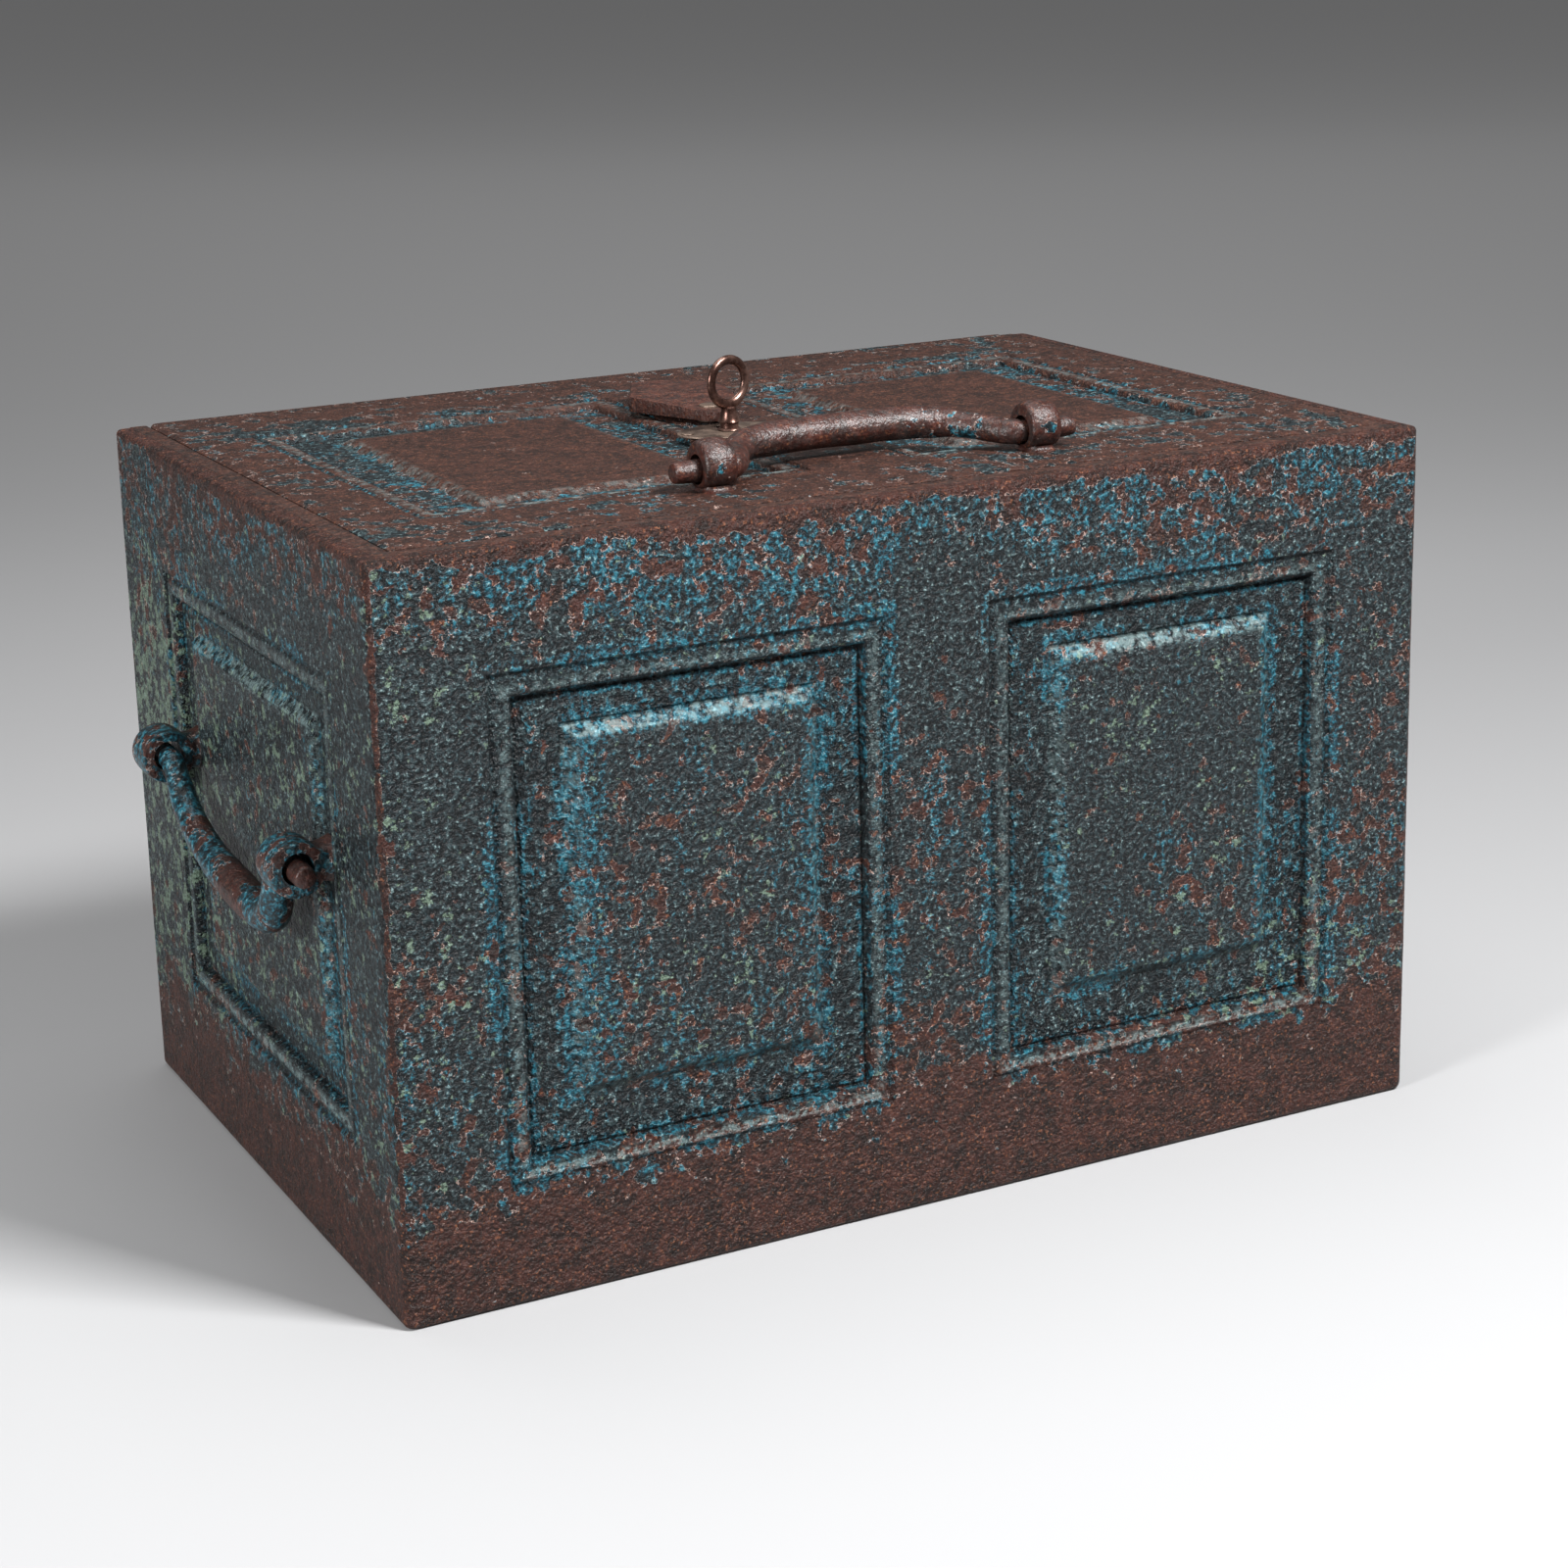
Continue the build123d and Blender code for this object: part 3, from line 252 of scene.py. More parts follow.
def build_walls():
    x_arc, y_arc = HALF_X - CORNER, HALF_Y - CORNER
    in_x, in_y = HALF_X - PLATE, HALF_Y - PLATE
    front_z = grid_lines(BOTTOM_ROUND, HEIGHT - TOP_ROUND, panel_marks(FRONT_PANELS[:1], 1))
    side_z = grid_lines(BOTTOM_ROUND, HEIGHT - TOP_ROUND, panel_marks(SIDE_PANELS, 1))

    path = [(-HALF_X, -in_y, -1, 0)] + corner_arc((-x_arc, -y_arc), 180)
    path += [(x, -HALF_Y, 0, -1) for x in grid_lines(-x_arc, x_arc, panel_marks(FRONT_PANELS, 0))[1:-1]]
    path += corner_arc((x_arc, -y_arc), 270) + [(HALF_X, -in_y, 1, 0)]
    inner = [(x, -in_y) for x in np.clip([p[0] for p in path], SEAM_IN - HALF_X, HALF_X - SEAM_IN)]
    walls = {"front_plate": wall("front_wall", path, inner, front_z, HEIGHT, front_depth)}
    arc = [(-x_arc - CORNER * cos(t), y_arc + CORNER * sin(t), -cos(t), sin(t))
           for t in np.radians(np.linspace(0, 90, ARC_STEPS + 1))]
    left = [(-HALF_X, y, -1, 0) for y in grid_lines(-in_y, y_arc, panel_marks(SIDE_PANELS, 0))[:-1]]
    left += arc + [(-in_x, HALF_Y, 0, 1)]
    for side, hand in (("left", -1), ("right", 1)):
        path = [(-hand * x, y, -hand * nx, ny) for x, y, nx, ny in left]
        inner = [(hand * in_x, min(p[1], HALF_Y - SEAM_IN)) for p in path]
        walls[f"{side}_plate"] = wall(f"{side}_wall", path, inner, side_z, HEIGHT, side_depth)

    path = [(x, HALF_Y, 0, 1) for x in grid_lines(-in_x, in_x, [])]
    back_z = grid_lines(BOTTOM_ROUND, BACK_TOP - TOP_ROUND, [])
    inner = [(p[0], in_y) for p in path]
    walls["back_plate"] = wall("back_wall", path, inner, back_z, BACK_TOP, no_depth)
    for node, made in walls.items():
        paint_masks(made)
        show(made, "case", PAINT, node)


def moulding_masks(u, v, panels):
    """Where margins and quirks, crests (rubbed wear plus painted highlight, strongest on faces turned up),
    fields, bands beside mouldings and painted shade in the grooves lie.
    """
    held, crest, in_field, band, grime = (np.zeros_like(u) for _ in range(5))
    for outer, field in panels:
        edge, raised = inside(u, v, outer), inside(u, v, field)
        margin = ramp(edge, 10.0, 12.0) * ramp(raised, 1.5, -1.0)
        quirk = ramp(edge, 0.2, 1.4) * ramp(edge, 4.2, 3.2)
        held = np.maximum(held, np.maximum(margin, quirk))
        # the bottom bead and the top bevel face up and take the full share: painted highlight from the light
        # above, over the rubbed wear of every crest
        bead_up = np.where(v - outer[2] < edge + 1, 1.0, 0.5)
        bevel_up = np.where(field[3] - v < raised + 1, 1.0, 0.35)
        crest = np.maximum(crest, bead_up * ramp(np.abs(edge - BEAD_MIDDLE), 3.2, 1.0))
        crest = np.maximum(crest, bevel_up * ramp(np.abs(raised - 2.4), 4.2, 2.4))
        in_field = np.maximum(in_field, ramp(raised, 2.5, 5))
        band = np.maximum(band, np.maximum(ramp(np.abs(edge + 1), 6, 1), ramp(np.abs(raised - 1), 9, 2)))
        band = np.maximum(band, ramp(np.abs(edge - 12.5), 3.5, 1))
        # dark lines along the groove, the quirk and the field's foot: painted shade in the creases
        for off, strength in ((edge - GROOVE_AT, 1.0), (edge - QUIRK_WIDE, 0.6), (raised - FIELD_START, 0.4)):
            grime = np.maximum(grime, strength * ramp(np.abs(off), 1.7, 0.5))
    return held, crest, in_field, band, grime


def paint_masks(made):
    """Bare iron, blue, green, rubbed wear with painted highlight on crests, and painted shade in the grooves
    over the case walls.
    """
    p = positions(made)
    x, y, z = p.T
    wide = value_noise(p, 62, 11)
    mid = value_noise(p, 26, 12)
    on_front = y < -HALF_Y + CORNER
    on_left = (x < -HALF_X + CORNER + 0.5) & ~on_front
    on_side = np.abs(x) > HALF_X - CORNER - 0.5
    front, sides = moulding_masks(x, z, FRONT_PANELS), moulding_masks(y, z, SIDE_PANELS)
    held, crest, field, band, grime = (np.where(on_front, f, np.where(on_side, g, 0))
                                       for f, g in zip(front, sides))

    # bare iron along the foot, the top and the upright corners, and on the unpainted inner faces
    wobble = 30 * (mid - 0.5) + 24 * (wide - 0.5)
    bare = 0.15 + 0.26 * (wide - 0.5)
    low = ramp(z + 0.7 * wobble, 80, 14)
    bare = bare + 0.68 * low
    bare = bare + 0.17 * ramp(z + wobble, 268, 300)
    bare = np.maximum(bare, 0.80 * ramp(z + 0.25 * wobble, 308, 316))
    bare = bare + np.where(on_front, 0.12 * ramp(x + wobble, 203, 222) * ramp(z + wobble, 300, 120), 0)
    bare = bare + np.where(on_front, 0.14 * ramp(np.abs(x), 30, 22) * ramp(z + 2 * wobble, 190, 80), 0)
    from_corner = np.maximum(HALF_X - np.abs(x), y + HALF_Y)
    bare = np.maximum(bare, 0.62 * ramp(from_corner, 4.2, 1.6))
    bare = bare + 0.10 * crest * ramp(z, 110, 60) - 0.05 * held
    inner_face = (np.abs(x) < HALF_X - PLATE + 0.5) & (np.abs(y) < HALF_Y - PLATE + 0.5)
    bare = np.where(inner_face | (z > HEIGHT - 0.6) | (z < 0.5), 1, bare)

    # brighter blue beside the mouldings, under the top edge and down the left edge of the left field
    blue = 0.16 + 0.5 * (wide - 0.5) + 0.10 * held + 0.20 * crest + 0.75 * band * ramp(mid, 0.25, 0.6)
    blue = blue + 0.42 * ramp(z + wobble, 262, 296)
    blue = blue + np.where(on_front, 0.3 * ramp(np.abs(x + 160), 12, 4) * field, 0)
    blue = blue + 0.25 * low
    blue = np.where(on_front, blue, blue - 0.12)

    # pale green low on the right, at the left corner and over the left end
    green = 0.14 + 0.40 * (value_noise(p, 45, 13) - 0.5) + 0.12 * field
    green = green + np.where(on_front, 0.35 * ramp(x, 40, 190) * ramp(z, 150, 75), 0)
    green = green + np.where(on_front, 0.25 * ramp(x, -190, -225), 0)
    green = green + np.where(on_left, (0.34 * ramp(y, 20, 120) + 0.22) * ramp(z, 300, 240), 0)
    # crests carry rubbed wear with painted highlight, grooves painted shade
    set_masks(made, bare=bare, blue=blue, green=green, worn=crest, grime=grime)


# ---- the lid ---------------------------------------------------------------------------------------------
LID_EDGE_DROP, LID_EDGE_EASED = 0.9, 1.0


def build_lid():
    xs = grid_lines(-LID_X, LID_X, panel_marks(LID_PANELS, 0))
    ys = grid_lines(LID_FRONT, HALF_Y, panel_marks(LID_PANELS[:1], 1))
    xs = np.unique(np.concatenate([xs, KEY_HOLE_X]))
    ys = np.unique(np.concatenate([ys, KEY_HOLE_Y]))
    u, v = np.meshgrid(xs, ys, indexing="ij")
    over = np.clip(np.abs(u) - (LID_X - LID_CORNER), 0, LID_CORNER)
    rear = HALF_Y - LID_CORNER + np.sqrt(LID_CORNER ** 2 - over ** 2)
    start = HALF_Y - 3 * LID_CORNER      # lines past this bend round the rear corners
    v = np.where(v > start, start + (v - start) * (rear - start) / (HALF_Y - start), v)
    flat = np.stack([u, v, np.full_like(u, LID_TOP)], axis=-1)
    edge = np.minimum(np.minimum(LID_X - np.abs(u), v - LID_FRONT), rear - v)
    sunk = panel_depth(u, v, LID_PANELS, LID_RELIEF) + unevenness(flat) * ramp(edge, 0, 6)
    sunk = sunk + LID_EDGE_DROP * ramp(edge, LID_EDGE_EASED, 0)
    top = np.stack([u, v, LID_TOP - sunk], axis=-1)
    low = np.stack([u, v, np.full_like(u, LID_BOTTOM)], axis=-1)

    bm = bmesh.new()
    count_x, count_y = u.shape
    upper = [[bm.verts.new(top[i, j]) for j in range(count_y)] for i in range(count_x)]
    lower = [[bm.verts.new(low[i, j]) for j in range(count_y)] for i in range(count_x)]
    hole = ((xs[:-1] >= KEY_HOLE_X[0]) & (xs[1:] <= KEY_HOLE_X[1]))[:, None] \
        & ((ys[:-1] >= KEY_HOLE_Y[0]) & (ys[1:] <= KEY_HOLE_Y[1]))[None, :]
    for i in range(count_x - 1):
        for j in range(count_y - 1):
            if not hole[i, j]:
                for sheet in (upper, lower):
                    bm.faces.new((sheet[i][j], sheet[i + 1][j], sheet[i + 1][j + 1], sheet[i][j + 1]))
    for vert in [spare for spare in bm.verts if not spare.link_faces]:
        bm.verts.remove(vert)
    side = {a: b for row_a, row_b in zip(upper, lower) for a, b in zip(row_a, row_b)
            if a.is_valid and b.is_valid}
    for rim in [e for e in bm.edges if e.is_boundary and all(v in side for v in e.verts)]:
        a, b = rim.verts
        bm.faces.new((a, b, side[b], side[a]))
    lid = finish_mesh(bm, "lid_top")

    p = positions(lid)
    x, y, z = p.T
    wide, mid = value_noise(p, 58, 21), value_noise(p, 22, 22)
    held, crest, field, band, grime = moulding_masks(x, y, LID_PANELS)
    wobble = 22 * (mid - 0.5)
    bare = 0.54 + 0.38 * (wide - 0.5) - 0.34 * held + 0.26 * field
    bare = bare - 0.26 * ramp(np.abs(x), 209, 203) * ramp(np.abs(y - 118 + wobble), 10, 3)
    bare = bare - 0.2 * ramp(y + wobble, -112, -122) * ramp(y, -150, -138)
    below = z < LID_TOP - 4.5
    bare = np.where(below, 0.9, bare)
    blue = 0.10 + 0.5 * (wide - 0.5) + 0.2 * held + 0.2 * crest + 0.3 * band
    green = 0.08 + 0.2 * (mid - 0.5)
    # on the top, crests carry rubbed wear with painted highlight and grooves painted shade
    set_masks(lid, bare=bare, blue=np.where(below, 0, blue), green=green, worn=np.where(below, 0, crest),
              grime=np.where(below, 0, 0.7 * grime))
    show(lid, "lid", LID_IRON, "lid_plate")


# ---- forged handles --------------------------------------------------------------------------------------
CUTTING_ROUNDS = 4


def smooth_path(points):
    """Cut the corners of a path again and again, keeping its two ends."""
    points = np.array(points, float)
    for _ in range(CUTTING_ROUNDS):
        near = 0.75 * points[:-1] + 0.25 * points[1:]
        far = 0.25 * points[:-1] + 0.75 * points[1:]
        cut = np.empty((2 * len(near), points.shape[1]))
        cut[0::2], cut[1::2] = near, far
        points = np.vstack([points[:1], cut[1:-1], points[-1:]])
    return points


def hammered(points, normals, seed, depth):
    """Dent a round surface slightly, as by hammer blows."""
    broad, small = value_noise(points, 9, seed) - 0.5, value_noise(points, 4, seed + 1) - 0.5
    return points + normals * (depth * broad + 0.4 * depth * small)[:, None]


FULL_DENT_RADIUS = 6          # thinner bars are dented less


def tube(route, sides=40, flat=1.0, dent=0.5, seed=40, closed=False):
    """A forged bar along route, whose rows are a point and a radius; flat squeezes its section in height."""
    route = np.array(route, float)
    spine, radius = route[:, :3], route[:, 3]
    if closed:
        tangent = np.roll(spine, -1, axis=0) - np.roll(spine, 1, axis=0)
    else:
        tangent = np.gradient(spine, axis=0)
    tangent /= np.linalg.norm(tangent, axis=1)[:, None]
    spread = spine - spine.mean(axis=0)
    across = np.linalg.svd(spread, full_matrices=False)[2][2]
    rings = []
    for at, along, r in zip(spine, tangent, radius):
        side = np.cross(along, across)
        side /= np.linalg.norm(side)
        up = np.cross(side, along)
        turns = np.arange(sides) * 2 * pi / sides
        normals = np.cos(turns)[:, None] * side + flat * np.sin(turns)[:, None] * up
        ring = at + r * normals
        rings.append(hammered(ring, normals, seed, dent * min(1, r / FULL_DENT_RADIUS)))
    if closed:
        rings.append(rings[0])
    return loop_grid(rings, caps=not closed)


def bail_route(half_span, depth, pin_end, elbow_in, crown, pin_r, rod_r, neck_r, rise=0.0):
    """One bail in its own plane, as rows of across, out, up and radius, from pin end to pin end."""
    elbow = half_span - elbow_in
    half = [(pin_end, 0, 0, pin_r * 0.7), (pin_end - 0.8, 0, 0, pin_r), (half_span + 5.2, 0, 0, pin_r),
            (half_span + 4.5, 0, 0, pin_r), (half_span + 3.5, 0.5, 0, neck_r),
            (half_span - 1, 4, 0, neck_r), (elbow + 4, depth - crown - 9, rise * 0.4, neck_r),
            (elbow - 5, depth - crown - 1, rise * 0.8, rod_r * 0.98), (elbow * 0.5, depth - 1, rise, rod_r)]
    left = [(-a, b, c, r) for a, b, c, r in half]
    return np.vstack([left, [(0, depth, rise, rod_r)], half[::-1]])


def to_world(route, origin, across, out, up):
    """Lay a flat route into the row frame."""
    axes = np.array([across, out, up], float)
    placed = np.array(origin) + route[:, :3] @ axes
    return np.column_stack([placed, route[:, 3]])


def handle_masks(made, blue_at, strength):
    """Brown iron with blue paint left near given points."""
    p = positions(made)
    near = np.zeros(len(p))
    for point, reach in blue_at:
        near = np.maximum(near, ramp(np.linalg.norm(p - np.array(point), axis=1), reach, reach * 0.4))
    patch = value_noise(p, 13, 51)
    bare = 0.80 + 0.2 * (patch - 0.5) - strength * near
    # a faint even share of the pale overlay of rubbed wear and painted highlight
    set_masks(made, bare=bare, blue=0.45 + 0.4 * near, green=0.1, worn=0.08)


def place_handle(bm, name, node, body, blue_at, strength):
    made = finish_mesh(bm, name, sharp=50)
    handle_masks(made, blue_at, strength)
    show(made, body, FORGED, node)


LID_BLUE, SIDE_BLUE, EYE_BLUE = 0.42, 0.62, 0.5       # how far the iron's share falls where paint is left
LID_PIN, LID_BAIL_LIE = (0.0, -119.0, 326.3), radians(-1.5)
LID_BAIL = dict(half_span=66.5, depth=37, pin_end=97, elbow_in=15, crown=3, pin_r=5.2, rod_r=7.8, neck_r=5.9,
                rise=3.5)
LID_BAIL_BLUE = [((44, -84, 323), 24), ((62, -100, 324), 18), ((-56, -103, 324), 9), ((86, -119, 326), 7)]
SIDE_X, SIDE_PIN, PIN_SLOPE = 264.0, (-14.0, 183.15), radians(1.2112)
SIDE_BAIL_BLUE = [((264, 50, 170), 40), ((266, -78, 152), 40), ((266, 10, 148), 42)]
SIDE_ROUTE = np.array([      # rear pin, the long slope, the tight front elbow and the front pin
    (-106.5, 0, 0, 3.8), (-105.7, 0, 0, 5.0), (-84, 0, 0, 5.0), (-75.5, 0, 0, 5.0), (-72.5, 1, 0, 5.2),
    (-68, 5, 0, 5.4), (-60, 14, 0, 5.9), (-44, 24, 0, 6.5), (-20, 29.5, 0, 7.2), (8, 32, 0, 7.9),
    (30, 33, 0, 8.1), (48, 33, 0, 8.0), (60, 30.5, 0, 7.6), (66, 22, 0, 6.9), (69, 12, 0, 6.3),
    (72.5, 1.5, 0, 5.8), (75.5, 0, 0, 5.0), (84, 0, 0, 5.0), (105.7, 0, 0, 5.0), (106.5, 0, 0, 3.8)], float)


def build_bails():
    out, up = (0, cos(LID_BAIL_LIE), sin(LID_BAIL_LIE)), (0, -sin(LID_BAIL_LIE), cos(LID_BAIL_LIE))
    placed = to_world(smooth_path(bail_route(**LID_BAIL)), LID_PIN, (1, 0, 0), out, up)
    place_handle(tube(placed, flat=0.94), "lid_bail_bar", "lid_bail", "lid_bail", LID_BAIL_BLUE, LID_BLUE)
    across, down = (0, -cos(PIN_SLOPE), -sin(PIN_SLOPE)), (0, sin(PIN_SLOPE), -cos(PIN_SLOPE))
    for name, hand in (("left", -1), ("right", 1)):
        placed = to_world(smooth_path(SIDE_ROUTE), (hand * SIDE_X, *SIDE_PIN), across, down, (hand, 0, 0))
        blue_at = [((hand * x, y, z), reach) for (x, y, z), reach in SIDE_BAIL_BLUE]
        place_handle(tube(placed, seed=44), f"{name}_bail_bar", f"{name}_bail", f"{name}_bail", blue_at,
                     SIDE_BLUE)


EYE_TURNS, EYE_SECTION, EYE_BORE_AT = 56, 14, (1, 0.35, -0.35, -1)
FOOT_SIDES, FOOT_WIDE, FOOT_DEEP, FOOT_DEEPEST, FOOT_FLARE, FOOT_SQUARE = 24, 0.42, 0.72, 7.5, 0.25, 0.6


def ring_eye(centre, pin, out, radius, wide, bore, bore_shift, reach, soft):
    """A rolled eye: a band round the bore, its rim rounded by soft, with a foot on the plate it stands on."""
    pin, out = Vector(pin), Vector(out)
    side = out.cross(pin)
    centre = Vector(centre)
    middle = centre + Vector(bore_shift)
    rings = []
    for turn in range(EYE_TURNS):
        angle = 2 * pi * turn / EYE_TURNS
        ray = out * cos(angle) + side * sin(angle)
        base, tip = middle + ray * bore, centre + ray * radius
        thick = (tip - base).length
        ring = []
        for step in range(EYE_SECTION):
            sweep = pi * (step / (EYE_SECTION - 1))
            bulge = 0.5 + 0.5 * sin(sweep) ** soft
            ring.append(base + ray * thick * bulge - pin * (wide / 2 * cos(sweep)))
        ring += [base + pin * (wide / 2 * s) for s in EYE_BORE_AT]
        rings.append(ring)
    rings.append(rings[0])
    skin = loop_grid(rings, caps=False)
    foot_rows = []
    foot_top = bore - Vector(bore_shift).dot(out) + 0.3    # just outside the bore, so that it stays clear
    for share in np.linspace(0, 1, 6):
        flare = 1 + FOOT_FLARE * share ** 3
        half_a, half_b = wide * FOOT_WIDE * flare, min(radius * FOOT_DEEP, FOOT_DEEPEST) * flare
        at = centre - out * (foot_top + (reach - foot_top) * share)
        turns = np.arange(FOOT_SIDES) * 2 * pi / FOOT_SIDES
        foot_rows.append([at + pin * half_a * np.sign(cos(t)) * abs(cos(t)) ** FOOT_SQUARE
                          + side * half_b * np.sign(sin(t)) * abs(sin(t)) ** FOOT_SQUARE for t in turns])
    return joined(skin, loop_grid(foot_rows))


LID_EYE = dict(radius=10.5, wide=14.5, bore=6.4, reach=11.3, soft=0.6)
SIDE_EYE = dict(radius=12.0, wide=20, bore=6.9, reach=18, soft=0.22)
LID_EYE_X, LID_EYE_Y, LID_EYE_Z = 78.5, -119, 329
LID_EYE_CHIP = (-128, 325)
SIDE_EYES = (("front", -101.5, 181.3), ("rear", 73.5, 185.0))


def build_eyes():
    for name, hand in (("left", -1), ("right", 1)):
        skin = ring_eye((hand * LID_EYE_X, LID_EYE_Y, LID_EYE_Z), (1, 0, 0), (0, 0, 1),
                        bore_shift=(0, 0, -2.2), **LID_EYE)
        place_handle(skin, f"lid_{name}_handle_eye", f"lid_{name}_eye", "lid",
                     [((hand * LID_EYE_X, *LID_EYE_CHIP), 9)], LID_BLUE)
        for end, y, z in SIDE_EYES:
            centre = (hand * SIDE_X, y, z)
            skin = ring_eye(centre, (0, cos(PIN_SLOPE), sin(PIN_SLOPE)), (hand, 0, 0),
                            bore_shift=(hand * 0.2, 0, 1.2), **SIDE_EYE)
            place_handle(skin, f"{name}_{end}_handle_eye", f"{name}_{end}_eye", "case", [(centre, 26)],
                         EYE_BLUE)


# ---- pieces softened from the part's own solids ---------------------------------------------------------
CREASE = radians(28)          # edges that turn more than this are eased


def soften(node, width):
    """A copy of a part node with eased edges, in millimetres."""
    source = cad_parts[node]
    bm = bmesh.new()
    bm.from_mesh(source.data)
    bmesh.ops.scale(bm, vec=(1 / MM,) * 3, verts=bm.verts)
    bmesh.ops.remove_doubles(bm, verts=bm.verts, dist=2e-3)
    bmesh.ops.dissolve_limit(bm, angle_limit=radians(1), verts=bm.verts, edges=bm.edges)
    edges = [e for e in bm.edges if len(e.link_faces) == 2 and e.calc_face_angle(0) > CREASE]
    bmesh.ops.bevel(bm, geom=edges, offset=width, segments=2, affect="EDGES", clamp_overlap=True, profile=0.6)
    return bm


def place_soft(node, body, material, width, bare=0.9, blue=0.2):
    made = finish_mesh(soften(node, width), f"{node}_piece", sharp=45)
    # a faint even share of the pale overlay of rubbed wear and painted highlight
    set_masks(made, bare=bare, blue=blue, green=0.1, worn=0.05)
    show(made, body, material, node)


# ---- key and keyhole cover --------------------------------------------------------------------------------
KEY_AT, KEY_SEAT, KEY_TURNED = (-15.0, -7.0), 318.86, radians(16)
ACROSS = np.array([cos(KEY_TURNED), sin(KEY_TURNED), 0])
THROUGH = np.array([-sin(KEY_TURNED), cos(KEY_TURNED), 0])
UP = np.array([0, 0, 1])
# the turned parts' rows are a radius and a height over the escutcheon
KEY_SHANK = [(1.6, -35.66), (2.4, -34.86), (2.4, -32.46), (3.1, -32.06), (3.1, -0.1)]
KEY_COLLAR = [(5.0, 0), (5.4, 0.35), (5.2, 0.85), (4.3, 1.2), (4.2, 3.3), (4.9, 3.6), (5.2, 4.05), (4.9, 4.5),
              (4.5, 5.4), (3.9, 7.5), (3.5, 9.2), (3.6, 10.1), (2.9, 10.8), (1.4, 11.1)]
BOW_MIDDLE, BOW_ACROSS, BOW_UP, BOW_WIRE, BOW_ROOT = 21.9, 10.3, 10.1, 2.15, 0.3
BOW_TURNS = 72
BIT_HALF = 1.4
BIT_OUTLINE = [(2, 289.2), (11.3, 289.2), (11.3, 293), (9.6, 293), (9.6, 294.6), (11.3, 294.6),
               (11.3, 297.4), (9, 297.4), (9, 299), (11.3, 299), (11.3, 301.8), (2, 301.8)]


LATHE_SIDES = 48


def lathe(profile, centre):
    """A turned solid about an upright axis from rows of radius and height."""
    turns = [2 * pi * k / LATHE_SIDES for k in range(LATHE_SIDES)]
    return loop_grid([[(centre[0] + r * cos(t), centre[1] + r * sin(t), z) for t in turns]
                      for r, z in profile])


def joined(first, second):
    """Add one working mesh to another."""
    second.verts.index_update()
    copied = [first.verts.new(v.co) for v in second.verts]
    for face in second.faces:
        first.faces.new([copied[v.index] for v in face.verts])
    second.free()
    return first


def build_key():
    key = lathe([(r, KEY_SEAT + z) for r, z in KEY_SHANK + KEY_COLLAR], KEY_AT)
    middle = np.array([*KEY_AT, KEY_SEAT + BOW_MIDDLE])
    route = []
    for turn in np.arange(BOW_TURNS) * 2 * pi / BOW_TURNS:
        thick = BOW_WIRE + BOW_ROOT * max(0, -sin(turn)) ** 3
        route.append([*(middle + ACROSS * BOW_ACROSS * cos(turn) + UP * BOW_UP * sin(turn)), thick])
    key = joined(key, tube(route, sides=24, flat=0.8, dent=0.15, seed=61, closed=True))
    key = joined(key, key_bit())
    made = finish_mesh(key, "key_body", sharp=50)
    show(made, "key", KEY_STEEL, "key")


def key_bit():
    """The flat bit below the lid, with two shallow steps cut in it."""
    base = np.array([*KEY_AT, 0])
    return loop_grid([[base + ACROSS * a + THROUGH * s + UP * z for a, z in BIT_OUTLINE]
                      for s in (-BIT_HALF, BIT_HALF)])


def build_soft_parts():
    """Everything whose shape comes straight from the part, with its edges eased."""
    place_soft("keyhole_cover", "keyhole_cover", COVER_IRON, width=0.7, bare=0.96, blue=0.1)
    for node in ("escutcheon_plate", "escutcheon_rivets", "cover_pivot"):
        place_soft(node, "lid", PLATE_STEEL, width=0.25)
    place_soft("rim_frame", "case", LID_IRON, width=0.5, bare=0.86, blue=0.3)
    for node in ("base_plate", "base_frame", "front_left_angle", "front_right_angle", "rear_left_angle",
                 "rear_right_angle", "angle_rivets", "base_rivets"):
        place_soft(node, "case", INSIDE_IRON, width=0.4, bare=1.0, blue=0.0)
    for hand in ("left", "right"):
        place_soft(f"{hand}_case_hinge_leaf", "case", HINGE_IRON, width=0.5)
        place_soft(f"{hand}_lid_hinge_leaf", "lid", HINGE_IRON, width=0.5)
        place_soft(f"{hand}_hinge_pin", "case", HINGE_IRON, width=0.3)
        place_soft(f"{hand}_keeper", "case", LOCK_STEEL, width=0.3)
        place_soft(f"{hand}_bolt_guide", "lid", LOCK_STEEL, width=0.3)
        place_soft(f"{hand}_bolt", "boltwork", LOCK_STEEL, width=0.2)
    place_soft("hinge_rivets", "case", HINGE_IRON, width=0.3)
    place_soft("side_eye_nuts", "case", LOCK_STEEL, width=0.4)
    for node in ("lid_eye_nuts", "lock_case", "lock_cap", "lock_screws", "lever_post"):
        place_soft(node, "lid", LOCK_STEEL, width=0.3)
    for node in ("lock_bolt", "cross_bar", "bolt_rivets"):
        place_soft(node, "boltwork", LOCK_STEEL, width=0.3)
    for node in ("lever_1", "lever_2", "lever_3", "lever_spring"):
        place_soft(node, "levers", LOCK_STEEL, width=0.15)


# ---- materials -------------------------------------------------------------------------------------------
def colour(red, green, blue):
    """A display colour from 0-255 values, made linear."""
    def linear(part):
        part /= 255
        return part / 12.92 if part <= 0.04045 else ((part + 0.055) / 1.055) ** 2.4
    return (linear(red), linear(green), linear(blue), 1)


